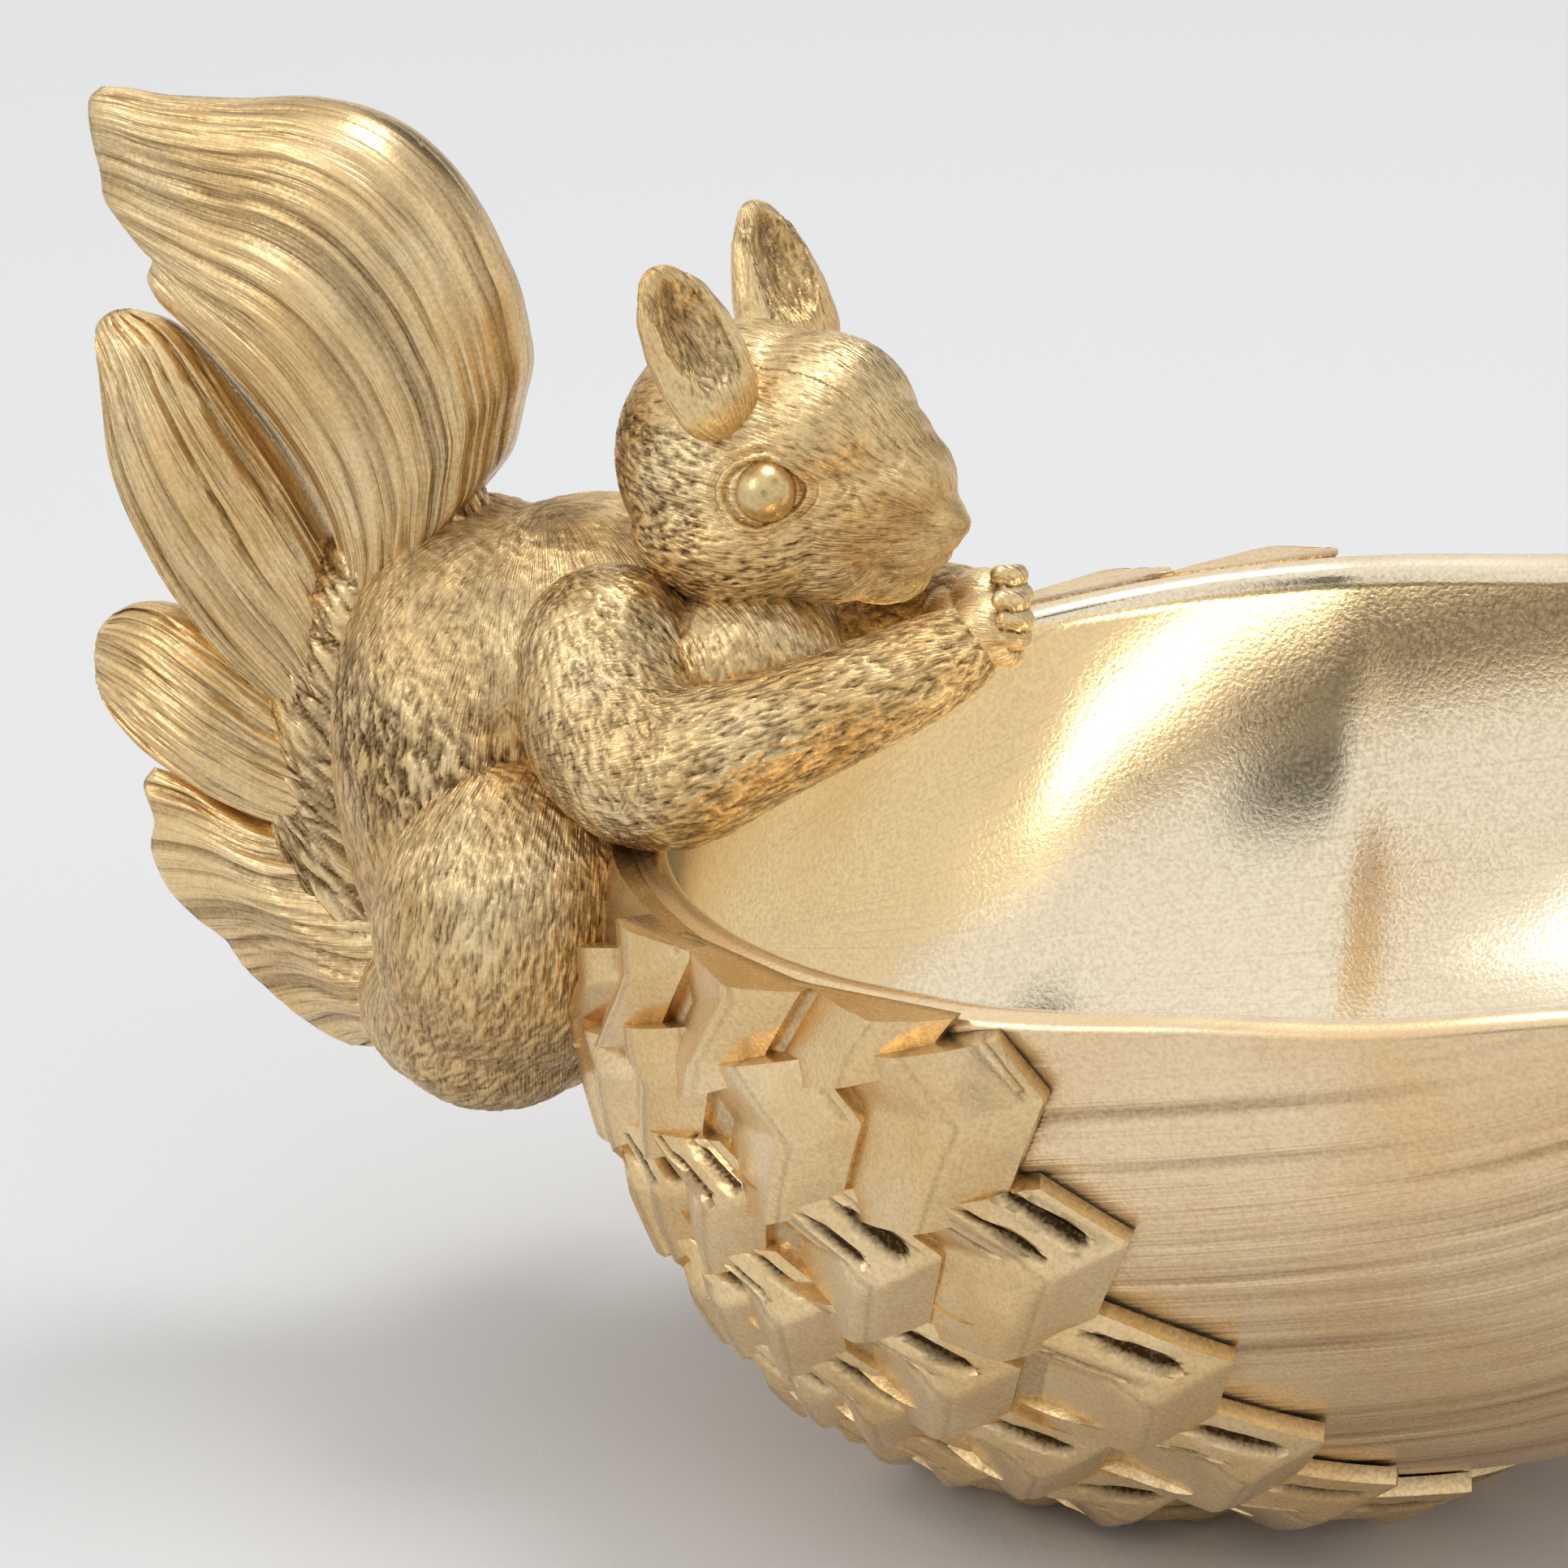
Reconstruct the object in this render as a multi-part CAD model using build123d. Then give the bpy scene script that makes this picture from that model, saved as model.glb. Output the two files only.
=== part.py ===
from build123d import *
import math
import os

# Squirrel perched on the capped end of an acorn-shaped bowl.
# Frame: +X runs from the squirrel to the tip of the acorn, +Z is up,
# and the origin is the middle of the footprint on the table. Millimetres.

# Driving dimensions of the bowl
bowl_radius = 84.0
bowl_length = 230.0
wall = 5.0
cap_shell = 2.2
scale_thickness = 2.2
rim_height = 80.5
rim_pitch = 6.0
pad_thickness = 1.0
pad_length = 60.0
pad_width = 44.0

# Driving dimensions of the squirrel
squirrel_height = 100.0
eye_radius = 3.5
torso_wall = 4.5
dowel_radius = 2.0
pin_radius = 1.5

perch_pin_spacing = 20.0

# Nut outline: place along the axis from the stem end as a share of the length,
# then how far the axis lies below the rim and the radius as shares of the bowl's radius
nut_shares = [
    (0.000, 0.280, 0.020), (0.005, 0.276, 0.107), (0.017, 0.268, 0.226),
    (0.037, 0.250, 0.369), (0.065, 0.226, 0.506), (0.104, 0.194, 0.643),
    (0.152, 0.143, 0.774), (0.217, 0.083, 0.887), (0.283, 0.042, 0.958),
    (0.326, 0.018, 0.979), (0.378, 0.000, 0.993), (0.435, -0.018, 1.000),
    (0.500, -0.036, 0.994), (0.552, -0.051, 0.974), (0.600, -0.069, 0.940),
    (0.639, -0.083, 0.911), (0.696, -0.099, 0.857), (0.761, -0.113, 0.774),
    (0.826, -0.125, 0.667), (0.883, -0.135, 0.536), (0.926, -0.143, 0.405),
    (0.961, -0.150, 0.268), (0.987, -0.157, 0.143), (1.000, -0.162, 0.055),
]
stem_end_share = -0.109
squirrel_place_share = -0.052

# Cap edge at the rim, and how far it runs on towards the tip for each unit of depth
cap_edge_share = 0.178
cap_edge_slope_share = 0.405

# Rows of scales: place of the tips at the rim as a share of the length, and the length
# of a scale as a share of the bowl's radius. The rows by the stem stop short of the rim,
# and some start part of a scale earlier than the row in front.
scale_row_shares = [
    (0.217, 0.333), (0.111, 0.290), (0.030, 0.250), (-0.024, 0.196), (-0.060, 0.150),
]
scale_row_first_angles = [0, 0, 0, 12, 38]
scale_row_starts = [0.50, 0.50, 0.15, 0.30, 0.50]
scales_per_row = 14
scale_fill_share = 0.90
scale_point_share = 0.35
scale_lift_angle = 5.0
scale_root_share = 2.6

bowl_start = stem_end_share * bowl_length
pitch = math.radians(rim_pitch)
axis_dir = Vector(math.cos(pitch), 0, math.sin(pitch))
rim_normal = Vector(-math.sin(pitch), 0, math.cos(pitch))
acorn = Plane(origin=(0, 0, rim_height), x_dir=axis_dir, z_dir=rim_normal)


def nut_stations():
    """Place, drop of the axis and radius along the nut."""
    return [
        (bowl_start + place * bowl_length, drop * bowl_radius, radius * bowl_radius)
        for place, drop, radius in nut_shares
    ]


def offset_stations(distance):
    """The nut's stations moved along their outward normals."""
    stations = nut_stations()
    moved = []
    for index, (place, drop, radius) in enumerate(stations):
        before = stations[max(index - 1, 0)]
        after = stations[min(index + 1, len(stations) - 1)]
        lean = math.atan2(after[2] - before[2], after[0] - before[0])
        new_radius = radius + distance * math.cos(lean)
        if new_radius > wall / 2:
            moved.append((place - distance * math.sin(lean), drop, new_radius))
    return moved


def round_loft(stations):
    """A closed solid through circles square to the acorn's axis."""
    sections = []
    for place, drop, radius in stations:
        centre = acorn.from_local_coords((place, 0, -drop))
        sections.append(Plane(origin=centre, x_dir=(0, 1, 0), z_dir=axis_dir) * Circle(radius))
    return loft(sections)


def surface_point(stations, place, angle):
    """Point of a round loft at a place along its axis; 0 is the near rim and 90 the bottom."""
    for left, right in zip(stations, stations[1:]):
        if place <= right[0]:
            break
    part = min(max((place - left[0]) / (right[0] - left[0]), 0), 1)
    drop = left[1] + part * (right[1] - left[1])
    radius = left[2] + part * (right[2] - left[2])
    turn = math.radians(angle)
    return acorn.from_local_coords((place, -radius * math.cos(turn), -drop - radius * math.sin(turn)))


def below_rim():
    """Block that fills the space under the rim, down past the table."""
    size = 3 * bowl_length
    block = Box(size, size, size, align=(Align.CENTER, Align.CENTER, Align.MAX))
    return acorn.location * block


def above_base():
    """Block that fills the space over the flat that the bowl rests on."""
    size = 3 * bowl_length
    block = Box(size, size, size, align=(Align.CENTER, Align.CENTER, Align.MIN))
    return Pos(0, 0, pad_thickness) * block


def cap_side():
    """Block on the stem side of the cap's slanted edge."""
    size = 3 * bowl_length
    edge = acorn.from_local_coords((cap_edge_share * bowl_length, 0, 0))
    lean = math.degrees(math.atan(cap_edge_slope_share)) + rim_pitch
    block = Box(size, size, size, align=(Align.MAX, Align.CENTER, Align.CENTER))
    return Pos(*edge) * Rot(0, -lean, 0) * block


def cap_scale(stations, tip_share, length_share, angle):
    """One overlapping scale: a five-sided block, rooted in the cap, whose free point stands proud."""
    length = length_share * bowl_radius
    depth = bowl_radius * math.sin(math.radians(max(min(angle, 180), 0)))
    tip = tip_share * bowl_length + cap_edge_slope_share * depth
    middle = surface_point(stations, tip - length / 2, angle)
    front = surface_point(stations, tip - length / 4, angle)
    side = surface_point(stations, tip - length / 2, angle + 1)
    along = (front - middle).normalized()
    normal = (side - middle).cross(along).normalized()
    radius = (middle - acorn.from_local_coords((tip - length / 2, 0, 0))).length
    width = math.radians(180 / scales_per_row) * radius * scale_fill_share
    half = width / 2
    shoulder = length * (0.5 - scale_point_share)
    outline = Polyline(
        (-length / 2, -half), (shoulder, -half), (length / 2, 0), (shoulder, half),
        (-length / 2, half), close=True,
    )
    root = scale_root_share * cap_shell
    plate = extrude(make_face(outline), amount=scale_thickness + root)
    plate = Pos(0, 0, -root) * Rot(0, -scale_lift_angle, 0) * plate
    frame = Plane(origin=middle, x_dir=along, z_dir=normal)
    return frame.location * plate


def cap_scales():
    """All rows of scales, whose tips lie nearly behind one another."""
    stations = offset_stations(cap_shell)
    step = 180 / scales_per_row
    scales = []
    for row, (tip_share, length_share) in enumerate(scale_row_shares):
        first = scale_row_first_angles[row]
        for index in range(scales_per_row + 1):
            angle = (index + scale_row_starts[row]) * step
            if first <= angle <= 180 - first:
                scales.append(cap_scale(stations, tip_share, length_share, angle))
    return scales


def squirrel_point(x_share, y_share, z_share):
    """Place of a point of the squirrel, counted from where it perches on the rim."""
    perch = acorn.from_local_coords((squirrel_place_share * bowl_length, 0, 0))
    return perch + Vector(x_share, y_share, z_share) * squirrel_height


def limb(points, flatten_share=1.0):
    """A swelling, tapering form through rounds square to the line of the points."""
    centres = [squirrel_point(x, y, z) for x, y, z, _ in points]
    sections = []
    for index, (_, _, _, radius_share) in enumerate(points):
        before = centres[max(index - 1, 0)]
        after = centres[min(index + 1, len(points) - 1)]
        along = (after - before).normalized()
        across = Vector(0, 1, 0).cross(along).normalized()
        radius = radius_share * squirrel_height
        plane = Plane(origin=centres[index], x_dir=across, z_dir=along)
        sections.append(plane * Ellipse(radius, radius * flatten_share))
    return loft(sections)


def mirrored(points):
    """The same points on the other side of the squirrel's middle."""
    return [(x, -y, z, radius) for x, y, z, radius in points]


# Torso: height, middle, half length and half width, as shares of the squirrel's height
torso_shares = [
    (-0.440, -0.080, 0.060, 0.080), (-0.400, -0.120, 0.130, 0.180), (-0.330, -0.180, 0.190, 0.240),
    (-0.230, -0.230, 0.230, 0.280), (-0.090, -0.255, 0.240, 0.290), (0.050, -0.225, 0.255, 0.275),
    (0.160, -0.165, 0.245, 0.240), (0.250, -0.125, 0.200, 0.195), (0.295, -0.115, 0.130, 0.120),
    (0.315, -0.110, 0.050, 0.050),
]

# Head: place along its own axis, rise, half width and half height, as the same shares
head_shares = [
    (-0.205, 0.010, 0.030, 0.030), (-0.180, 0.012, 0.095, 0.095), (-0.110, 0.015, 0.150, 0.155),
    (0.000, 0.015, 0.178, 0.178), (0.080, 0.000, 0.160, 0.155), (0.140, -0.020, 0.115, 0.115),
    (0.190, -0.035, 0.078, 0.080), (0.230, -0.040, 0.048, 0.050), (0.252, -0.040, 0.015, 0.020),
]
head_place_share = (0.090, -0.050, 0.395)
head_turn = -13.0

right_arm_shares = [
    (-0.020, -0.225, 0.060, 0.070), (0.050, -0.270, 0.045, 0.090), (0.130, -0.275, 0.070, 0.088),
    (0.230, -0.240, 0.130, 0.070), (0.320, -0.185, 0.185, 0.056), (0.370, -0.150, 0.222, 0.044),
]
right_paw_shares = [
    (0.370, -0.150, 0.222, 0.040), (0.390, -0.125, 0.250, 0.056), (0.400, -0.095, 0.272, 0.050),
    (0.400, -0.075, 0.285, 0.030),
]
left_paw_shares = [
    (0.310, 0.050, 0.205, 0.036), (0.335, 0.010, 0.225, 0.050), (0.350, -0.025, 0.245, 0.045),
    (0.352, -0.045, 0.256, 0.026),
]
left_arm_shares = [
    (-0.020, 0.200, 0.060, 0.070), (0.050, 0.230, 0.050, 0.088), (0.130, 0.205, 0.080, 0.080),
    (0.220, 0.140, 0.140, 0.060), (0.310, 0.050, 0.205, 0.042),
]
hind_leg_shares = [
    (-0.030, -0.260, -0.390, 0.040), (-0.055, -0.265, -0.350, 0.110), (-0.100, -0.260, -0.260, 0.165),
    (-0.140, -0.250, -0.150, 0.180), (-0.160, -0.240, -0.050, 0.150), (-0.150, -0.235, 0.020, 0.100),
    (-0.140, -0.235, 0.050, 0.040),
]
hind_leg_flatten_share = 0.95

# Ears: base, middle and tip with half widths, and the cup that hollows each one
right_ear_shares = [
    (0.035, -0.175, 0.500, 0.062), (0.015, -0.190, 0.560, 0.068), (-0.002, -0.200, 0.620, 0.056),
    (-0.012, -0.205, 0.665, 0.024),
]
left_ear_shares = [
    (0.045, 0.085, 0.500, 0.062), (0.025, 0.105, 0.560, 0.066), (0.005, 0.120, 0.620, 0.052),
    (-0.008, 0.130, 0.665, 0.022),
]
ear_flatten_share = 0.55
ear_cup_share = 0.72
ear_cup_shift_share = (0.024, -0.018, 0.012)

# Eyes: forward of the head's middle, out to either side, and up
eye_place_share = (0.076, 0.152, 0.040)

# Tail: points of each form's centre line with half widths, how far it stands to one side,
# and how thick it is for its width. The root lies along the back and carries the locks.
tail_shares = {
    "tail_root": (0.0, 1.10, [
        (-0.280, -0.400, 0.050), (-0.400, -0.290, 0.090), (-0.470, -0.130, 0.105),
        (-0.470, 0.020, 0.105), (-0.410, 0.150, 0.095), (-0.340, 0.240, 0.060),
    ]),
    "tail_upper_lock": (0.0, 0.64, [
        (-0.357, 0.103, 0.075), (-0.400, 0.264, 0.130), (-0.444, 0.423, 0.185),
        (-0.495, 0.581, 0.184), (-0.586, 0.688, 0.115), (-0.694, 0.734, 0.062),
        (-0.779, 0.764, 0.008),
    ]),
    "tail_middle_lock": (-0.020, 0.95, [
        (-0.420, 0.015, 0.075), (-0.500, 0.130, 0.105), (-0.590, 0.260, 0.118),
        (-0.681, 0.370, 0.095), (-0.752, 0.440, 0.050), (-0.788, 0.468, 0.008),
    ]),
    "tail_lower_lock": (-0.020, 1.00, [
        (-0.440, -0.112, 0.070), (-0.530, -0.067, 0.098), (-0.640, -0.017, 0.105),
        (-0.730, 0.022, 0.082), (-0.793, 0.054, 0.024),
    ]),
    "tail_base_lock": (-0.010, 0.95, [
        (-0.320, -0.400, 0.050), (-0.410, -0.330, 0.090), (-0.515, -0.250, 0.112),
        (-0.615, -0.180, 0.100), (-0.700, -0.125, 0.056), (-0.738, -0.100, 0.014),
    ]),
}

# Pins that locate the squirrel, its head and its tail, as points on the squirrel
neck_pin_shares = ((-0.075, -0.010, 0.170), (0.040, -0.035, 0.350))
tail_pin_shares = ((-0.390, 0.0, -0.020), (-0.550, 0.0, -0.020))
perch_pin_shares = ((-0.128, -0.200), (-0.300, -0.200))


def torso_solid(inset):
    """Egg-shaped body through level ellipses, from the seat to the nape."""
    sections = []
    for rise, middle, half_length, half_width in torso_shares:
        centre = squirrel_point(middle, 0, rise)
        length = half_length * squirrel_height - inset
        width = half_width * squirrel_height - inset
        if min(length, width) > inset:
            plane = Plane(origin=centre, x_dir=(1, 0, 0), z_dir=(0, 0, 1))
            sections.append(plane * Ellipse(length, width))
    return loft(sections)


def head_frame():
    """Plane at the head's middle, across the line from nape to nose."""
    turn = math.radians(head_turn)
    forward = Vector(math.cos(turn), math.sin(turn), 0)
    sideways = Vector(-math.sin(turn), math.cos(turn), 0)
    return Plane(origin=squirrel_point(*head_place_share), x_dir=sideways, z_dir=forward)


def head_solid():
    """Skull and muzzle through ellipses square to the line from nape to nose."""
    sections = []
    for place, rise, half_width, half_height in head_shares:
        plane = head_frame() * Pos(0, rise * squirrel_height, place * squirrel_height)
        sections.append(plane * Ellipse(half_width * squirrel_height, half_height * squirrel_height))
    return loft(sections)


def eye(side):
    """Round eye set into one side of the head."""
    place, out, rise = [share * squirrel_height for share in eye_place_share]
    return head_frame().location * Pos(side * out, rise, place) * Sphere(eye_radius)


def ear_solid(points):
    """A pointed ear with a cupped front."""
    shell = limb(points, ear_flatten_share)
    shift = Vector(*ear_cup_shift_share) * squirrel_height
    cup_points = [
        (x + ear_cup_shift_share[0], y + ear_cup_shift_share[1], z + ear_cup_shift_share[2],
         radius * ear_cup_share)
        for x, y, z, radius in points[:3]
    ]
    return shell - limb(cup_points, ear_flatten_share)


def pin(start, end, radius):
    """A straight round pin between two points."""
    length = (end - start).length
    bar = Cylinder(radius, length, align=(Align.CENTER, Align.CENTER, Align.MIN))
    return Plane(origin=start, z_dir=end - start).location * bar


def carve(solid, tools):
    """A solid less every tool, kept as its largest remaining piece."""
    for tool in tools:
        solid = solid - tool
    return max(solid.solids(), key=lambda body: body.volume)


def near(tools, solid):
    """The tools whose boxes meet the solid's box."""
    box = solid.bounding_box()
    reached = []
    for tool in tools:
        other = tool.bounding_box()
        apart = (
            max(box.min.X, other.min.X) > min(box.max.X, other.max.X)
            or max(box.min.Y, other.min.Y) > min(box.max.Y, other.max.Y)
            or max(box.min.Z, other.min.Z) > min(box.max.Z, other.max.Z)
        )
        if not apart:
            reached.append(tool)
    return reached


def acorn_pieces():
    """The nut shell, the scaled cap, the smooth acorn that the squirrel is fitted to, and the scales."""
    rim_block = below_rim()
    nut_outer = round_loft(nut_stations()) & rim_block
    nut_inner = round_loft(offset_stations(-wall))
    cap_outer = round_loft(offset_stations(cap_shell)) & cap_side() & rim_block
    bowl = nut_outer - nut_inner
    scales = cap_scales()
    cap = (cap_outer + scales) - nut_outer
    cap = carve(cap & rim_block & above_base(), [])
    return bowl, cap, cap_outer + nut_outer, scales


def squirrel_pieces(acorn_form, scales):
    """The squirrel's pieces, each cut to the ones that it is fitted on."""
    torso_form = torso_solid(0)
    torso = carve(torso_form - torso_solid(torso_wall), [acorn_form] + near(scales, torso_form))
    legs = []
    for points in (hind_leg_shares, mirrored(hind_leg_shares)):
        leg = limb(points, hind_leg_flatten_share)
        legs.append(carve(leg, [acorn_form, torso_form] + near(scales, leg)))
    right_leg, left_leg = legs
    body = [acorn_form, torso_form, right_leg, left_leg]
    right_arm = carve(limb(right_arm_shares), body)
    left_arm = carve(limb(left_arm_shares), body)
    right_paw = carve(limb(right_paw_shares), [right_arm])
    left_paw = carve(limb(left_paw_shares), [left_arm, right_arm, right_paw])

    right_eye = eye(-1)
    left_eye = eye(1)
    held = [torso_form, right_arm, left_arm, right_paw, left_paw, right_eye, left_eye]
    head = carve(head_solid(), held)
    pieces = {
        "squirrel_torso": torso,
        "squirrel_head": head,
        "right_ear": carve(ear_solid(right_ear_shares), [head]),
        "left_ear": carve(ear_solid(left_ear_shares), [head]),
        "right_eye": right_eye,
        "left_eye": left_eye,
        "right_arm": right_arm,
        "left_arm": left_arm,
        "right_paw": right_paw,
        "left_paw": left_paw,
        "right_hind_leg": right_leg,
        "left_hind_leg": left_leg,
    }
    fitted = list(body)
    for name, (side_share, thick_share, points) in tail_shares.items():
        line = [(x, side_share, z, radius) for x, z, radius in points]
        pieces[name] = carve(limb(line, thick_share), fitted)
        fitted.append(pieces[name])
    return pieces


def perch_pins():
    """Two pins through the cap that hold the squirrel on its perch."""
    pins = []
    for side in (-1, 1):
        side_share = side * perch_pin_spacing / 2 / squirrel_height
        start, end = [squirrel_point(x, side_share, z) for x, z in perch_pin_shares]
        pins.append(pin(start, end, pin_radius))
    return pins


def base_pad(cap):
    """Felt pad under the flat that is cut across the cap's lowest scales."""
    flats = [face for face in cap.faces() if abs(face.center().Z - pad_thickness) < pad_thickness / 100]
    seat = max(flats, key=lambda face: face.area).bounding_box()
    disc = extrude(Ellipse(pad_length / 2, pad_width / 2), amount=pad_thickness)
    return Pos((seat.min.X + seat.max.X) / 2, 0, 0) * disc


def build():
    """Every piece by its name, in place, with the origin in the middle of the footprint."""
    bowl, cap, acorn_form, scales = acorn_pieces()
    pieces = squirrel_pieces(acorn_form, scales)

    neck_pin = pin(*[squirrel_point(*share) for share in neck_pin_shares], dowel_radius)
    tail_pin = pin(*[squirrel_point(*share) for share in tail_pin_shares], dowel_radius)
    pins = perch_pins()
    pieces["squirrel_torso"] = carve(pieces["squirrel_torso"], [neck_pin, tail_pin] + pins)
    pieces["squirrel_head"] = carve(pieces["squirrel_head"], [neck_pin])
    pieces["tail_root"] = carve(pieces["tail_root"], [tail_pin])

    pieces["acorn_bowl"] = carve(bowl, pins)
    pieces["acorn_cap"] = carve(cap, pins)
    pieces["base_pad"] = base_pad(cap)
    pieces["neck_dowel"] = neck_pin
    pieces["tail_dowel"] = tail_pin
    pieces["perch_pins"] = Compound(pins)

    boxes = [solid.bounding_box() for solid in pieces.values()]
    middle = (min(box.min.X for box in boxes) + max(box.max.X for box in boxes)) / 2
    return {name: Pos(-middle, 0, 0) * solid for name, solid in pieces.items()}


if __name__ == "__main__":
    os.makedirs("parts", exist_ok=True)
    for name, solid in build().items():
        export_step(solid, "parts/" + name + ".step")
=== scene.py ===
import math

import bpy
import numpy as np
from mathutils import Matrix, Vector, kdtree


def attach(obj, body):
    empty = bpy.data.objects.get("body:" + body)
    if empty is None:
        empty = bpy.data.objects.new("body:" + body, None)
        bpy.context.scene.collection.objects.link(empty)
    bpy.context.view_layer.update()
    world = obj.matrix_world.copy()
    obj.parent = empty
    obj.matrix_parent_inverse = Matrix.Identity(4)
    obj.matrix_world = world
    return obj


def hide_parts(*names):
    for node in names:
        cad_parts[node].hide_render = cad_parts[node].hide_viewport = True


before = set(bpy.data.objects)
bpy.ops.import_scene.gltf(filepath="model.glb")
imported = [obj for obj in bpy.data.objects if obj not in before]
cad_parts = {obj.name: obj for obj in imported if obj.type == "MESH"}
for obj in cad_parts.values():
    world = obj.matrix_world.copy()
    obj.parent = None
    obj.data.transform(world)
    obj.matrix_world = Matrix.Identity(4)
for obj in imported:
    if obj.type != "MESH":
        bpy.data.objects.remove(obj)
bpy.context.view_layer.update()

MM = 0.001

# The acorn in mm: its rim's height and tilt, where its own zero lies, its length and its radius
RIM_HEIGHT = 80.5
RIM_TILT = math.radians(6.0)
MIDDLE_X = -54.0
ACORN_LENGTH = 230.0
ACORN_RADIUS = 84.0
ACORN_START = -0.109 * ACORN_LENGTH
TABLE_CLEARANCE = 1.05

# The bowl in mm: its wall, the drop of its round lip, the waves of the rim and the band they reach
BOWL_WALL = 5.0
LIP_DROP = 1.3
RIM_WAVE = 0.55
WAVE_BAND = 6
# Rays from the heart shape it, crowded a little towards the ends, where the rim bends most;
# the rim lies about RIM_REACH mm from the heart
BOWL_HEART = np.array([70.0, 0.0, 0.0])
RAY_CROWDING = 0.18
RIM_REACH = 90.0
# Its grain in layers: strength, width in degrees, length in mm and seed; then the depth in mm
NUT_GRAIN = [(0.34, 2.3, 90, 4), (0.44, 1.25, 62, 5), (0.34, 0.78, 36, 7)]
GRAIN_DEPTH = 0.34

# Place along the nut, drop of its axis below the rim and its radius, as shares
NUT_SHARES = [
    (0.000, 0.280, 0.020), (0.005, 0.276, 0.107), (0.017, 0.268, 0.226),
    (0.037, 0.250, 0.369), (0.065, 0.226, 0.506), (0.104, 0.194, 0.643),
    (0.152, 0.143, 0.774), (0.217, 0.083, 0.887), (0.283, 0.042, 0.958),
    (0.326, 0.018, 0.979), (0.378, 0.000, 0.993), (0.435, -0.018, 1.000),
    (0.500, -0.036, 0.994), (0.552, -0.051, 0.974), (0.600, -0.069, 0.940),
    (0.639, -0.083, 0.911), (0.696, -0.099, 0.857), (0.761, -0.113, 0.774),
    (0.826, -0.125, 0.667), (0.883, -0.135, 0.536), (0.926, -0.143, 0.405),
    (0.961, -0.150, 0.268), (0.987, -0.157, 0.143), (1.000, -0.162, 0.055),
]

# The cap in mm: its start and its edge along the rim, how much further it reaches for each mm
# below the rim, how far its skin stays behind the tips, stands off the nut and sinks into it
CAP_START = -19.0
CAP_EDGE = 0.178 * ACORN_LENGTH
CAP_SLANT = 0.405
CAP_INSET = 3.0
CAP_SKIN = 1.5
CAP_SUNK = -0.8
# Scales within SAWN_ANGLE degrees of the rim are sawn off, then the whole cap is pressed level,
# each so many mm under the rim
SAWN_ANGLE = 12
SAWN_BELOW = 0.5
PRESSED_BELOW = 0.4
# Scales in half a turn; those over LONG_SCALE mm have finer meshes and more gouges; the lower
# flank's reach in half widths; the height of the foot in mm
SCALES_ROUND = 14
LONG_SCALE = 20
SCALE_REACH = 1.42
SCALE_FOOT = 0.3
# Rows of scales: tip at the rim and scale length in mm, then where the row starts, in degrees
SCALE_ROWS = [
    (50.0, 29.5, 6.43), (25.5, 25.5, 6.43), (7.0, 22.5, 1.93), (-5.5, 18.0, 3.86), (-13.8, 14.0, 6.43),
]


# Small helpers for meshes

def only(*pieces):
    """Select these objects and nothing else, with the first one active."""
    bpy.ops.object.select_all(action="DESELECT")
    for piece in pieces:
        piece.select_set(True)
    bpy.context.view_layer.objects.active = pieces[0]


def vectors_of(items, key):
    """One vector of each item, in rows."""
    values = np.empty(len(items) * 3)
    items.foreach_get(key, values)
    return values.reshape(-1, 3)


def points_of(piece):
    """The vertices of a mesh in millimetres."""
    return vectors_of(piece.data.vertices, "co") / MM


def set_points(piece, points):
    """Put back the vertices of a mesh, given in millimetres."""
    piece.data.vertices.foreach_set("co", (np.asarray(points) * MM).ravel())
    piece.data.update()


def normals_of(piece):
    """The vertex normals of a mesh."""
    return vectors_of(piece.data.vertex_normals, "vector")


def mark(piece, values, name="cut"):
    """Store a number, or a vector, at each vertex for the material to read."""
    values = np.asarray(values, dtype=np.float32)
    kind, key = ("FLOAT_VECTOR", "vector") if values.ndim == 2 else ("FLOAT", "value")
    layer = piece.data.attributes.get(name) or piece.data.attributes.new(name, kind, "POINT")
    layer.data.foreach_set(key, values.ravel())


def lay_along(piece, start, end, radius):
    """Give a piece the way its hair lies: along a line, and round it at a typical radius, in mm."""
    start, end = np.array(start, dtype=float), np.array(end, dtype=float)
    way = (end - start) / np.linalg.norm(end - start)
    side = np.cross(way, (0.31, 0.87, 0.38))
    side /= np.linalg.norm(side)
    other = np.cross(way, side)
    offset = points_of(piece) - start
    round_it = np.arctan2(offset @ other, offset @ side) * radius
    mark(piece, np.stack([offset @ way, round_it, np.zeros(len(offset))], axis=-1), "lay")


def apply_modifier(piece, kind, **settings):
    """Add one modifier and apply it."""
    only(piece)
    modifier = piece.modifiers.new(kind.title(), kind)
    for key, value in settings.items():
        setattr(modifier, key, value)
    bpy.ops.object.modifier_apply(modifier=modifier.name)


def weld(piece, gap=0.002):
    """Merge the doubles of a mesh and turn its faces outwards."""
    only(piece)
    bpy.ops.object.mode_set(mode="EDIT")
    bpy.ops.mesh.select_all(action="SELECT")
    bpy.ops.mesh.remove_doubles(threshold=gap * MM)
    bpy.ops.mesh.normals_make_consistent(inside=False)
    bpy.ops.object.mode_set(mode="OBJECT")


def finish_piece(piece, name, material, nodes, smooth_angle=None):
    """Name a piece, dress it, hang it under the root body and hide the CAD nodes it stands for."""
    piece.name = name
    piece.data.name = name
    piece.data.materials.clear()
    piece.data.materials.append(material)
    only(piece)
    if smooth_angle is None:
        bpy.ops.object.shade_smooth()
    else:
        bpy.ops.object.shade_smooth_by_angle(angle=math.radians(smooth_angle))
    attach(piece, "root")
    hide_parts(*nodes)


# Noise and curves

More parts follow.
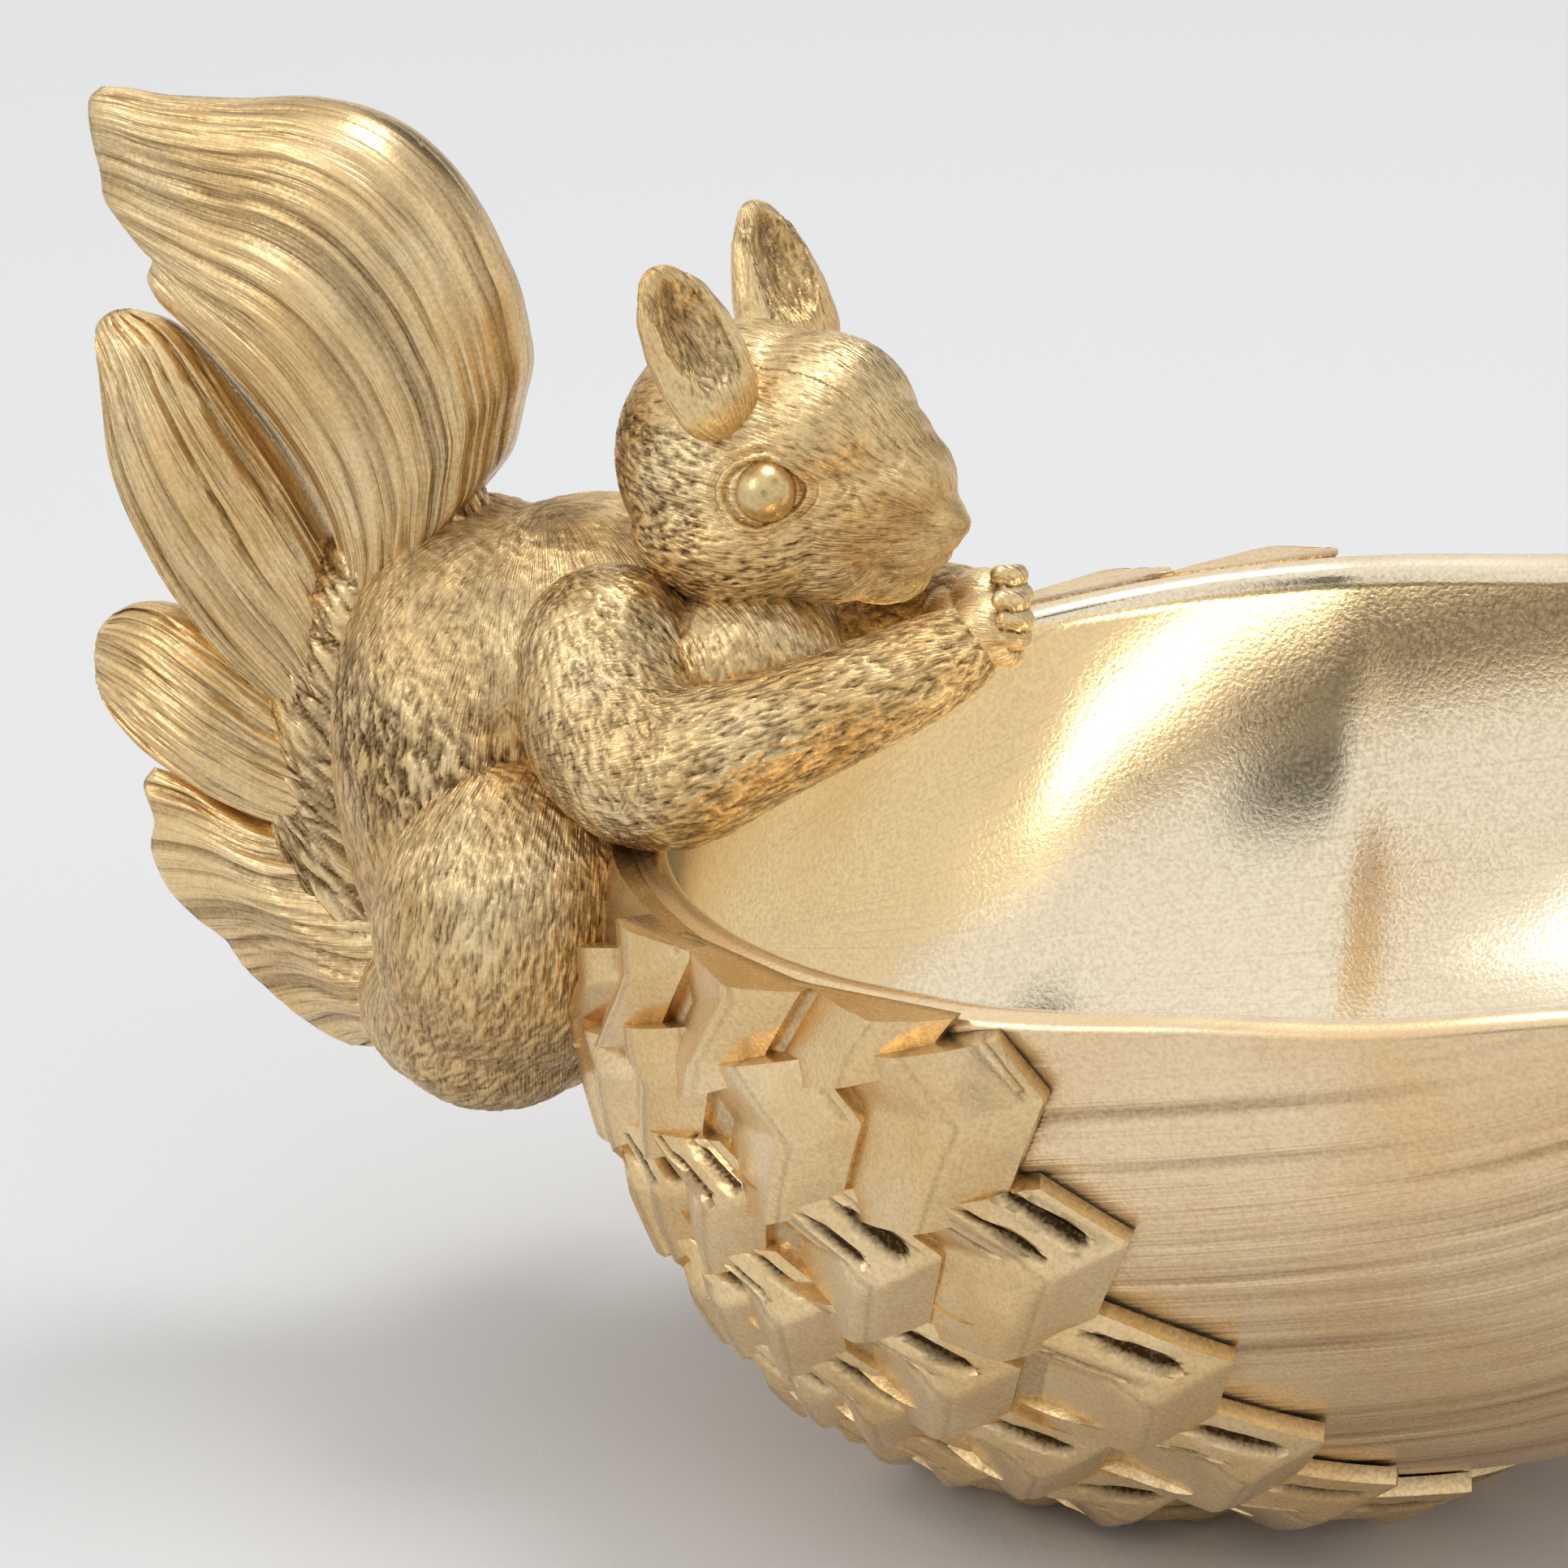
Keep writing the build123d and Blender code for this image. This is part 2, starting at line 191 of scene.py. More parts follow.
def lattice_noise(x, y, seed):
    """Smooth noise between -1 and 1 over a plane, the same on every run."""
    table = np.random.default_rng(seed).uniform(-1, 1, (256, 256))
    column = np.floor(x).astype(int)
    row = np.floor(y).astype(int)
    across = x - column
    down = y - row
    across = across * across * (3 - 2 * across)
    down = down * down * (3 - 2 * down)
    top = table[column % 256, row % 256] * (1 - across) + table[(column + 1) % 256, row % 256] * across
    low = table[column % 256, (row + 1) % 256] * (1 - across)
    low = low + table[(column + 1) % 256, (row + 1) % 256] * across
    return top * (1 - down) + low * down


def curve_through(points, steps):
    """A smooth line through points, with its samples spaced evenly along it."""
    points = np.asarray(points, dtype=float)
    padded = np.vstack([2 * points[0] - points[1], points, 2 * points[-1] - points[-2]])
    samples = []
    for index in range(1, len(padded) - 2):
        before, start, end, after = padded[index - 1:index + 3]
        for part in np.linspace(0, 1, 16, endpoint=False):
            samples.append(0.5 * (
                2 * start + (end - before) * part
                + (2 * before - 5 * start + 4 * end - after) * part ** 2
                + (3 * start - before - 3 * end + after) * part ** 3
            ))
    samples.append(points[-1])
    samples = np.array(samples)
    lengths = np.linalg.norm(np.diff(samples, axis=0), axis=1)
    run = np.concatenate([[0], np.cumsum(lengths)])
    places = np.asarray(steps) * run[-1] if np.ndim(steps) else np.linspace(0, run[-1], steps)
    return np.stack([np.interp(places, run, samples[:, k]) for k in range(samples.shape[1])], axis=1)


# The acorn's surfaces

def acorn_to_part(place, across, height):
    """From the acorn's own axes to the part's: along the rim, towards +Y, and out of the rim."""
    x = place * math.cos(RIM_TILT) - height * math.sin(RIM_TILT) + MIDDLE_X
    z = place * math.sin(RIM_TILT) + height * math.cos(RIM_TILT) + RIM_HEIGHT
    return np.stack([x, across, z], axis=-1)


def nut_outline(offset=0.0):
    """Place, drop and radius along the nut, moved out along its normals by an offset."""
    table = np.array(NUT_SHARES) * [ACORN_LENGTH, ACORN_RADIUS, ACORN_RADIUS] + [ACORN_START, 0, 0]
    table = curve_through(table, 500)
    slope = np.gradient(table[:, 2]) / np.maximum(np.gradient(table[:, 0]), 1e-6)
    lean = np.arctan(slope)
    moved = table.copy()
    moved[:, 0] -= offset * np.sin(lean)
    moved[:, 2] += offset * np.cos(lean)
    moved = moved[moved[:, 2] > 0.3]
    keep = np.concatenate([[True], np.diff(np.maximum.accumulate(moved[:, 0])) > 1e-4])
    return moved[keep]


def at_place(outline, place):
    """The drop and the radius of an outline at places along the nut."""
    return [np.interp(place, outline[:, 0], outline[:, column]) for column in (1, 2)]


def reach(outline, start, rays):
    """How far rays from a point inside the acorn go before they leave its outline."""
    low = np.zeros(len(rays))
    high = np.full(len(rays), 300.0)
    for _ in range(36):
        half = (low + high) / 2
        spot = start + rays * half[:, None]
        drop, radius = at_place(outline, spot[:, 0])
        inside = np.hypot(spot[:, 1], spot[:, 2] + drop) < radius
        inside &= (spot[:, 0] > outline[0, 0]) & (spot[:, 0] < outline[-1, 0])
        low = np.where(inside, half, low)
        high = np.where(inside, high, half)
    return low


def net(name, columns, rows):
    """A tube of quads from the grid primitive: columns go round it and rows go along it."""
    bpy.ops.object.select_all(action="DESELECT")
    bpy.ops.mesh.primitive_grid_add(x_subdivisions=columns, y_subdivisions=rows, size=2)
    piece = bpy.context.object
    piece.name = name
    spots = points_of(piece) * MM
    column = np.rint((spots[:, 0] + 1) / 2 * columns).astype(int)
    row = np.rint((spots[:, 1] + 1) / 2 * rows).astype(int)
    return piece, column, row


def make_bowl():
    """The nut: a round-lipped shell, grained along its outside and smooth within."""
    columns, outer_rows, lip_rows, inner_rows = 250, 236, 8, 54
    piece, column, row = net("acorn_bowl", columns, outer_rows + lip_rows + inner_rows)
    turn = 2 * math.pi * column / columns
    turn = turn + RAY_CROWDING * np.sin(2 * turn)
    outline = nut_outline()
    inside = nut_outline(-BOWL_WALL)
    rim_fall = LIP_DROP / RIM_REACH

    def shell(lines, surface, fall):
        rays = np.stack([
            np.cos(lines) * np.cos(fall), np.sin(lines) * np.cos(fall), -np.sin(fall),
        ], axis=-1)
        return BOWL_HEART + rays * reach(surface, BOWL_HEART, rays)[:, None]

    points = np.zeros((len(turn), 3))
    outer = row <= outer_rows
    depth_share = 1 - row[outer] / outer_rows
    points[outer] = shell(turn[outer], outline, rim_fall + (math.pi / 2 - rim_fall) * depth_share)
    lip = (row > outer_rows) & (row < outer_rows + lip_rows)
    share = (row[lip] - outer_rows) / lip_rows
    level = np.zeros(lip.sum())
    from_edge = shell(turn[lip], outline, level)
    to_edge = shell(turn[lip], inside, level)
    points[lip] = from_edge + (to_edge - from_edge) * share[:, None]
    points[lip, 2] = -LIP_DROP * np.abs(2 * share - 1) ** 2.6
    inner = row >= outer_rows + lip_rows
    depth_share = (row[inner] - outer_rows - lip_rows) / inner_rows
    points[inner] = shell(turn[inner], inside, rim_fall + (math.pi / 2 - rim_fall) * depth_share)

    # long shallow grain on the outside, running from the cap to the tip
    drop = at_place(outline, points[:, 0])[0]
    girth = np.degrees(np.arctan2(-(points[:, 2] + drop), -points[:, 1]))
    line = girth + 0.7 * lattice_noise(points[:, 0] / 55, girth / 9, 3)
    grain = sum(
        strength * lattice_noise(line / wide + 60, points[:, 0] / long + 60, seed)
        for strength, wide, long, seed in NUT_GRAIN
    )
    cut = np.clip(0.42 - 0.9 * grain, 0, 1) ** 1.5
    grained = np.where(outer, np.clip((1 - row / outer_rows) * 14, 0, 1), 0)
    inward = np.stack([points[:, 0], np.zeros(len(points)), -drop], axis=-1) - points
    inward /= np.maximum(np.linalg.norm(inward, axis=1), 1e-6)[:, None]
    points += inward * (GRAIN_DEPTH * cut * grained)[:, None]
    wave = RIM_WAVE * lattice_noise(np.cos(turn) * 4 + 9, np.sin(turn) * 4 + 9, 6)
    near_rim = np.clip(1 - np.abs(points[:, 2] + LIP_DROP / 2) / WAVE_BAND, 0, 1)
    points[:, 2] += wave * near_rim - RIM_WAVE * near_rim

    placed = acorn_to_part(points[:, 0], points[:, 1], points[:, 2])
    placed[:, 2] = np.maximum(placed[:, 2], TABLE_CLEARANCE)
    set_points(piece, placed)
    # painted shade: the grain's grooves are marked as cuts, so the material browns them
    mark(piece, np.where(outer, 0.50 * cut * grained, 0))
    mark(piece, grained, "grain")
    # painted sheen: inside marks where the paler colour for the room's reflection goes
    mark(piece, np.clip((row - outer_rows - 2) / 5, 0, 1), "inside")
    mark(piece, np.stack([points[:, 0], line * 1.47, np.zeros(len(line))], axis=-1), "lay")
    weld(piece)
    return piece


def over_nut(outline, place, angle, height):
    """A point over the nut: place along it, angle in degrees from the near side, and height."""
    drop, radius = at_place(outline, place)
    slope = np.interp(place, outline[:, 0], np.gradient(outline[:, 2], outline[:, 0]))
    lean = np.arctan(slope)
    round_radius = radius + height * np.cos(lean)
    turn = np.radians(angle)
    return acorn_to_part(
        place - height * np.sin(lean),
        -round_radius * np.cos(turn),
        -drop - round_radius * np.sin(turn),
    )


def cap_skin(outline):
    """The thin skin under the scales, from the perch to the slanted edge."""
    columns, rows = 180, 40
    piece, column, row = net("acorn_cap", columns, rows)
    side = column / columns
    out = side <= 0.5
    share = np.where(out, side * 2, 2 - side * 2)
    along = row / rows
    drop, radius = at_place(outline, CAP_START + (CAP_EDGE - CAP_START) * along)
    rim_angle = -np.degrees(np.arcsin(np.clip(drop / radius, -1, 1)))
    angle = rim_angle + share * (180 - 2 * rim_angle)
    depth = ACORN_RADIUS * np.sin(np.radians(np.clip(angle, 0, 180)))
    place = CAP_START + (CAP_EDGE - CAP_INSET + CAP_SLANT * depth - CAP_START) * along
    height = np.where(out, CAP_SKIN, CAP_SUNK)
    height = np.where(along > 0.999, np.minimum(height, 0.2), height)
    set_points(piece, over_nut(outline, place, angle, height))
    weld(piece)
    close_ends(piece)
    # painted shade: the skin under and between the scales is marked as a shallow cut, so it is darker
    mark(piece, np.full(len(piece.data.vertices), 0.3))
    mark(piece, points_of(piece), "lay")
    return piece


def close_ends(piece):
    """Close the open rings of a tube with faces."""
    only(piece)
    bpy.ops.object.mode_set(mode="EDIT")
    bpy.ops.mesh.select_all(action="DESELECT")
    bpy.ops.mesh.select_mode(type="EDGE")
    bpy.ops.mesh.select_non_manifold()
    bpy.ops.mesh.edge_face_add()
    bpy.ops.object.mode_set(mode="OBJECT")


def cut_at_rim(piece):
    """Saw off what stands above the acorn's rim."""
    only(piece)
    bpy.ops.object.mode_set(mode="EDIT")
    bpy.ops.mesh.select_all(action="SELECT")
    bpy.ops.mesh.bisect(
        plane_co=tuple(acorn_to_part(0.0, 0.0, -SAWN_BELOW) * MM),
        plane_no=(-math.sin(RIM_TILT), 0, math.cos(RIM_TILT)), use_fill=True, clear_outer=True,
    )
    bpy.ops.object.mode_set(mode="OBJECT")


def slant_at(angle):
    """How much further the cap's rows reach at an angle than at the rim."""
    return CAP_SLANT * ACORN_RADIUS * np.sin(np.radians(np.clip(angle, 0, 180)))


def cap_scale(outline, tip, length, angle, seed):
    """One carved scale: a hipped shingle with an upper and a lower facet and gouges behind its edge."""
    columns, rows = (34, 36) if length > LONG_SCALE else (26, 30)
    piece, column, row = net("scale", columns, rows)
    draw = np.random.default_rng(seed)
    lower = 1 if angle <= 90 else -1
    turned = min(max(angle if lower > 0 else 180 - angle, 0), 90)
    half = math.radians(90 / SCALES_ROUND) * float(at_place(outline, tip - length / 3)[1])
    tip_shift = draw.uniform(-0.15, 0.10) * half
    tip = tip + draw.uniform(-0.8, 0.8)
    side = (-1.0 + (1.0 + SCALE_REACH) * column / columns) * half
    along = np.minimum(row / (rows - 1), 1.0)
    back = length * (1 - along) ** 1.25
    # the first scales by the rim end square, and the lower ones end in a point
    up_slope = np.interp(turned, [0, 8, 19, 32, 60], [0.10, 0.30, 0.80, 1.25, 1.0])
    up_slope *= draw.uniform(0.95, 1.05)
    low_slope = np.interp(turned, [0, 8, 32, 60], [1.0, 1.0, 0.85, 0.9]) * draw.uniform(0.93, 1.07)
    off_tip = side - tip_shift
    edge = -np.where(off_tip < 0, up_slope, low_slope) * np.abs(off_tip)
    place = tip + edge - back
    from_upper = (tip + up_slope * off_tip - place) / math.hypot(1, up_slope)
    from_lower = (tip - low_slope * off_tip - place) / math.hypot(1, low_slope)
    upper_width = length * draw.uniform(0.29, 0.33)
    lower_width = length * draw.uniform(0.19, 0.22)
    share = np.minimum(from_upper / upper_width, from_lower / lower_width)
    crown = draw.uniform(5.9, 6.3)
    edge_height = draw.uniform(2.3, 2.6)
    height = edge_height + (crown - edge_height) * np.clip(share, 0, 1)
    fall = np.clip((back - 1.05 * upper_width) / (0.50 * length), 0, 1)
    height = height - (crown - 1.0) * fall
    crease = np.exp(-((share - 1.0) * lower_width / 0.40) ** 2)
    height -= 0.30 * crease
    height += 0.13 * lattice_noise(side / 3.5 + 40, back / 4 + 40, seed)
    # painted shade: the crease is marked as a cut, as are the groove and the gouges below
    cut = 0.30 * crease

    # a groove just inside the upper edge, then gouges that follow it, each shorter than the last
    line = np.exp(-((from_upper - 1.35) / 0.36) ** 2) * (off_tip < -0.6) * (turned < 26)
    height -= 0.40 * line
    cut = np.maximum(cut, 0.40 * line)
    along_edge = (off_tip + up_slope * (place - tip)) / math.hypot(1, up_slope)
    gouges = 0 if turned < 9 else 3 if turned > 14 and length > LONG_SCALE else 2
    for index in range(gouges):
        behind = (0.105 + 0.145 * index) * length + draw.uniform(-0.2, 0.3)
        centre = -0.44 * half * math.hypot(1, up_slope) - behind * up_slope + draw.uniform(-0.4, 0.4)
        half_long = half * (0.66 - 0.06 * index) * draw.uniform(0.9, 1.1)
        half_wide = (0.060 - 0.015 * index) * length * draw.uniform(0.75, 1.15)
        run = (along_edge - centre) / half_long
        lens = np.clip(1 - run ** 2, 0, 1) ** 0.5 * np.clip(0.75 + 0.3 * run, 0.3, 1)
        gouge = np.clip(1 - ((from_upper - behind) / (half_wide * lens + 0.04)) ** 2, 0, 1)
        gouge *= lens > 0
        gouge *= np.clip((from_lower - 0.55 * lower_width) / 0.9, 0, 1)
        height -= (1.35 - 0.15 * index) * gouge
        cut = np.maximum(cut, gouge)
    border = (column == 0) | (column == columns) | (row == 0) | (row == rows)
    height = np.where(border, SCALE_FOOT, height)
    # painted shade: the foot of each scale, where it meets the nut, is marked as a cut
    cut = np.where(border, 0.5, cut)
    turn = angle + lower * np.degrees(side / np.maximum(at_place(outline, place)[1], 20))
    set_points(piece, over_nut(outline, place + slant_at(turn), turn, height))
    mark(piece, cut)
    mark(piece, np.stack([side, back, np.zeros(len(side))], axis=-1), "lay")
    close_ends(piece)
    return piece


def join(pieces):
    """Join meshes into the first one."""
    only(*pieces)
    bpy.ops.object.join()
    return pieces[0]


def below_rim(piece):
    """Press what stands above the acorn's rim down onto it, and what dips under the table up."""
    points = points_of(piece)
    along = points[:, 0] - MIDDLE_X
    rise = points[:, 2] - RIM_HEIGHT
    height = -along * math.sin(RIM_TILT) + rise * math.cos(RIM_TILT)
    place = along * math.cos(RIM_TILT) + rise * math.sin(RIM_TILT)
    height = np.minimum(height, -PRESSED_BELOW)
    pressed = acorn_to_part(place, points[:, 1], height)
    pressed[:, 2] = np.maximum(pressed[:, 2], TABLE_CLEARANCE)
    set_points(piece, pressed)


def make_cap():
    """The cap: rows of overlapping carved scales on a thin skin, cut level with the rim."""
    outline = nut_outline()
    parts = [cap_skin(outline)]
    pitch = 180 / SCALES_ROUND
    for tip, length, start in SCALE_ROWS:
        for index in range(-1, SCALES_ROUND + 1):
            angle = start + index * pitch
            if not -SAWN_ANGLE <= angle <= 180 + SAWN_ANGLE:
                continue
            scale = cap_scale(outline, tip, length, angle, seed=100 + len(parts))
            if angle < SAWN_ANGLE or angle > 180 - SAWN_ANGLE:
                cut_at_rim(scale)
            parts.append(scale)
    cap = join(parts)
    below_rim(cap)
    return cap


# Cast forms of the squirrel

# How far strokes of fur turn off their flow, in radians, and bend, per mm
STROKE_TURN = 0.25
STROKE_BEND = 0.03

# The head: its middle in mm and its turn to the squirrel's right in degrees, then its eyes
HEAD_MIDDLE = (-57.0, -5.0, 118.5)
HEAD_TURN = -10.0
EYE_RADIUS = 3.7
# The lids as rings round the eye: distance, width and height in mm
LID_RIDGES = [(4.30, 0.45, 0.50), (5.6, 0.40, 0.25)]
LID_GROOVES = [(3.65, 0.26, 0.45), (5.0, 0.28, 0.25)]
# The mouth in the head's own axes: its middle and both sides, and the lines between them
MOUTH = [
    (22, 0, -6.6), (20, -2.5, -7.2), (16.5, -4.8, -7.6), (12.5, -6.4, -7.2),
    (20, 2.5, -7.2), (16.5, 4.8, -7.6), (12.5, 6.4, -7.2),
]
MOUTH_LINES = [(0, 1), (1, 2), (2, 3), (0, 4), (4, 5), (5, 6)]

# In mm; the right side's piece is at -1 and the left one's at 1
# Ears: foot, tip, the way the front faces, half width, and its shares from foot to tip
EARS = {
    -1: ((-61.5, -18.0, 132.2), (-67.8, -21.0, 147.0), (0.80, -0.58, 0.10),
         6.0, (1.0, 1.05, 1.03, 0.90, 0.58)),
    1: ((-61.5, 9.5, 131.0), (-66.8, 12.6, 145.2), (0.88, -0.45, 0.12),
        7.2, (1.05, 1.0, 0.88, 0.72, 0.45)),
}
# Arms: a line of x, y, z and radius from the shoulder to the wrist
ARMS = {
    -1: [(-73.0, -19.0, 98.0, 11.5), (-70.0, -25.5, 91.0, 11.0), (-62.5, -29.0, 89.0, 9.8),
         (-53.0, -28.5, 93.0, 8.0), (-43.5, -25.0, 97.3, 7.0), (-35.5, -20.5, 100.9, 6.3),
         (-31.5, -17.0, 102.8, 5.4)],
    1: [(-73.0, 15.0, 98.0, 11.0), (-70.0, 21.0, 91.0, 10.6), (-62.0, 22.5, 90.0, 9.0),
        (-53.0, 16.0, 94.0, 7.2), (-45.0, 8.5, 98.5, 5.8), (-38.0, 2.5, 101.5, 5.0),
        (-35.0, 0.0, 102.5, 4.6)],
}
# Paws: the middle of the palm, and its radius
PALMS = {-1: (-28.6, -15.0, 105.0), 1: (-33.0, -1.0, 103.0)}
PALM_RADIUS = 4.6
# How far back each hind leg sits, so that the far one stays out of the bowl
HAUNCH_SHIFT = {-1: 0.0, 1: 4.5}


def ball(centre, radii, turn=0.0, tilt=0.0):
    """An egg at a place, with its half lengths, turned about Z and tilted about Y, in degrees."""
    bpy.ops.mesh.primitive_uv_sphere_add(
        segments=40, ring_count=24, radius=MM, location=Vector(centre) * MM,
        rotation=(0, math.radians(tilt), math.radians(turn)),
    )
    piece = bpy.context.object
    piece.scale = radii if np.ndim(radii) else (radii, radii, radii)
    bpy.ops.object.transform_apply(location=True, rotation=True, scale=True)
    return piece


def limb(line, spacing=0.3):
    """A row of balls that swells and tapers along a line of x, y, z and radius."""
    line = np.asarray(line, dtype=float)
    length = np.linalg.norm(np.diff(line[:, :3], axis=0), axis=1).sum()
    count = max(4, int(length / (spacing * line[:, 3].mean())))
    return [ball(spot[:3], spot[3]) for spot in curve_through(line, count)]


def refine(piece):
    """Subdivide a mesh once, smoothly."""
    apply_modifier(piece, "SUBSURF", levels=1, render_levels=1)


def cast(parts, voxel, smooth):
    """Fuse forms into one skin, as clay is, and smooth it."""
    piece = join(parts)
    only(piece)
    piece.data.remesh_voxel_size = voxel * MM
    bpy.ops.object.voxel_remesh()
    apply_modifier(piece, "SMOOTH", factor=0.5, iterations=smooth)
    return piece


def cast_fine(parts, voxel, smooth):
    """Cast a form and subdivide it, fine enough to carve fur into."""
    piece = cast(parts, voxel, smooth)
    refine(piece)
    return piece


def comb(piece, flow, gap, length, width, depth, seed, where=lambda spot: 1.0):
    """Carve short strokes into a skin along a flow, and return how deep each point is cut."""
    points = points_of(piece)
    normals = normals_of(piece)
    tree = kdtree.KDTree(len(points))
    for index, spot in enumerate(points):
        tree.insert(spot, index)
    tree.balance()
    area = sum(face.area for face in piece.data.polygons) / MM ** 2
    count = int(area / gap ** 2)
    draw = np.random.default_rng(seed)
    chosen = draw.choice(len(points), size=min(count, len(points)), replace=False)
    cut = np.zeros(len(points))
    for index in chosen:
        spot = points[index]
        scale = where(spot)
        if scale <= 0:
            continue
        normal = normals[index]
        along = np.asarray(flow(spot), dtype=float)
        along = along - normal * along.dot(normal)
        size = np.linalg.norm(along)
        if size < 1e-6:
            continue
        along /= size
        side = np.cross(normal, along)
        angle = draw.normal(0, STROKE_TURN)
        along, side = (
            along * math.cos(angle) + side * math.sin(angle),
            side * math.cos(angle) - along * math.sin(angle),
        )
        own_length = length * draw.uniform(0.6, 1.35)
        own_width = width * draw.uniform(0.75, 1.3)
        own_depth = scale * draw.uniform(0.45, 1.0)
        bend = draw.normal(0, STROKE_BEND)
        near = [found[1] for found in tree.find_range(spot, own_length / 2)]
        offset = points[near] - spot
        forward = offset @ along
        aside = offset @ side + bend * forward ** 2
        taper = np.clip(1 - (2 * forward / own_length) ** 2, 0, 1)
        groove = np.clip(1 - (aside / (own_width * (0.4 + 0.6 * taper))) ** 2, 0, 1) * taper
        np.maximum.at(cut, near, groove * own_depth)
    set_points(piece, points - normals * (cut * depth)[:, None])
    return cut


def head_to_part(forward, side, up):
    """From the head's own axes to the part's."""
    turn = math.radians(HEAD_TURN)
    x = HEAD_MIDDLE[0] + forward * math.cos(turn) - side * math.sin(turn)
    y = HEAD_MIDDLE[1] + forward * math.sin(turn) + side * math.cos(turn)
    return (x, y, HEAD_MIDDLE[2] + up)


def head_ball(forward, side, up, radii):
    """An egg placed and turned with the head."""
    return ball(head_to_part(forward, side, up), radii, turn=HEAD_TURN)


def eye_place(side):
    """Centre of one eye."""
    return head_to_part(5.0, side * 12.7, 2.2)


def curvature(piece):
    """How much each point stands out of the middle of its neighbours, hollows below zero."""
    points = points_of(piece)
    normals = normals_of(piece)
    edges = np.empty(len(piece.data.edges) * 2, dtype=int)
    piece.data.edges.foreach_get("vertices", edges)
    a, b = edges.reshape(-1, 2).T
    total = np.zeros_like(points)
    count = np.zeros(len(points))
    for one, two in ((a, b), (b, a)):
        np.add.at(total, one, points[two])
        np.add.at(count, one, 1)
    out = points - total / np.maximum(count, 1)[:, None]
    size = np.median(np.linalg.norm(points[a] - points[b], axis=1))
    return np.einsum("ij,ij->i", out, normals) / size * 8


def make_torso():
    """Back, belly and rump, down to where they meet the cap."""
    parts = [
        ball((-92.4, 0.0, 73.5), (20.0, 28.5, 36), tilt=-12),
        ball((-80.0, -1.0, 91.5), (23, 22.5, 19.5)),
        ball((-68.0, -4.0, 97.5), (13, 15, 12)),
        ball((-58.0, -7.5, 97.5), (9.5, 10.5, 9.5)),
        ball((-57.5, -14.5, 98.0), (11.5, 11.5, 10.5)),
        ball((-93.0, 0.0, 47.5), (18, 23, 13)),
    ]
    parts += [ball((-73.0, side * 20.0, 92.0), (11, 9, 13)) for side in (-1, 1)]
    piece = cast_fine(parts, voxel=0.97, smooth=12)

    def flow(p):
        return (0.35 + 0.25 * (p[2] - 75) / 30, 0.12 * p[1] / 20, -1.0)

    # deeper in the crease over the haunch, calmer at the shoulder; the deeper cuts carry more painted
    # shade
    def depth(p):
        crease = math.exp(-((p[2] - 84 + 0.35 * (p[0] + 100)) / 7) ** 2) * (abs(p[1]) > 8)
        smooth = math.exp(-(((p[0] + 72) / 8) ** 2 + ((p[2] - 101) / 7) ** 2))
        return (0.62 + 0.75 * crease) * (1 - 0.6 * smooth)

    cut = comb(piece, flow, gap=1.0, length=3.4, width=0.40, depth=0.50, seed=11, where=depth)
    mark(piece, cut)
    lay_along(piece, (-88, 0, 110), (-88, 0, 40), 27)
    return piece


def make_haunch(side):
    """The folded hind leg."""
    shift = HAUNCH_SHIFT[side]
    parts = [
        ball((-84.0 - shift, side * 22.0, 65.5), (17.5 - shift / 3, 17.5, 20.5), tilt=14),
        ball((-88.0 - shift / 2, side * 19.0, 52.0), (14, 15, 12)),
    ]
    piece = cast_fine(parts, voxel=0.66, smooth=14)

    def flow(p):
        return (-0.45 + 0.9 * (p[2] - 60) / 25, 0, -1.0)

    cut = comb(
        piece, flow, gap=0.95, length=3.4, width=0.34, depth=0.48, seed=13 + side,
        where=lambda p: 0.70,
    )
    mark(piece, cut)
    lay_along(piece, (-82, 0, 95), (-86, 0, 40), 36)
    return piece


def rings(distance, table):
    """The height of round ridges, each with its own distance, width and height."""
    return sum(height * np.exp(-((distance - middle) / width) ** 2) for middle, width, height in table)


def carve_lids(points, normals, cut, side):
    """Raise two lids round an eye and keep the fur clear of it."""
    offset = points - np.array(eye_place(side))
    ahead = offset @ (np.array(head_to_part(1, 0, 0)) - np.array(head_to_part(0, 0, 0)))
    aside = offset @ (np.array(head_to_part(0, side, 0)) - np.array(head_to_part(0, 0, 0)))
    # the lids close to a point in front of the eye
    narrow = 1 - 0.40 * np.clip(ahead / 6, 0, 1)
    away = np.hypot(ahead * 0.92, offset[:, 2] / narrow)
    facing = np.clip((aside + 6) / 3, 0, 1)
    ridge = rings(away, LID_RIDGES)
    groove = rings(away, LID_GROOVES)
    calm = np.clip((away - 5.2) / 2.5, 0, 1)
    cut = np.where(facing > 0.1, cut * calm, cut)
    points = points + normals * ((ridge - groove) * facing)[:, None]
    # painted shade: the grooves round the eye are marked as cuts
    return points, np.maximum(cut, np.clip(groove * 1.1, 0, 0.9) * facing)


def mouth_slit(points):
    """How much each point lies in the slit of the mouth, from 0 to 1."""
    mouth = np.array([head_to_part(*spot) for spot in MOUTH])
    distance = np.full(len(points), 99.0)
    for a, b in MOUTH_LINES:
        way = mouth[b] - mouth[a]
        share = np.clip(((points - mouth[a]) @ way) / (way @ way), 0, 1)
        gap = points - mouth[a] - share[:, None] * way
        distance = np.minimum(distance, np.hypot(np.hypot(gap[:, 0], gap[:, 1]) * 0.35, gap[:, 2]))
    return np.exp(-(distance / 0.5) ** 2)


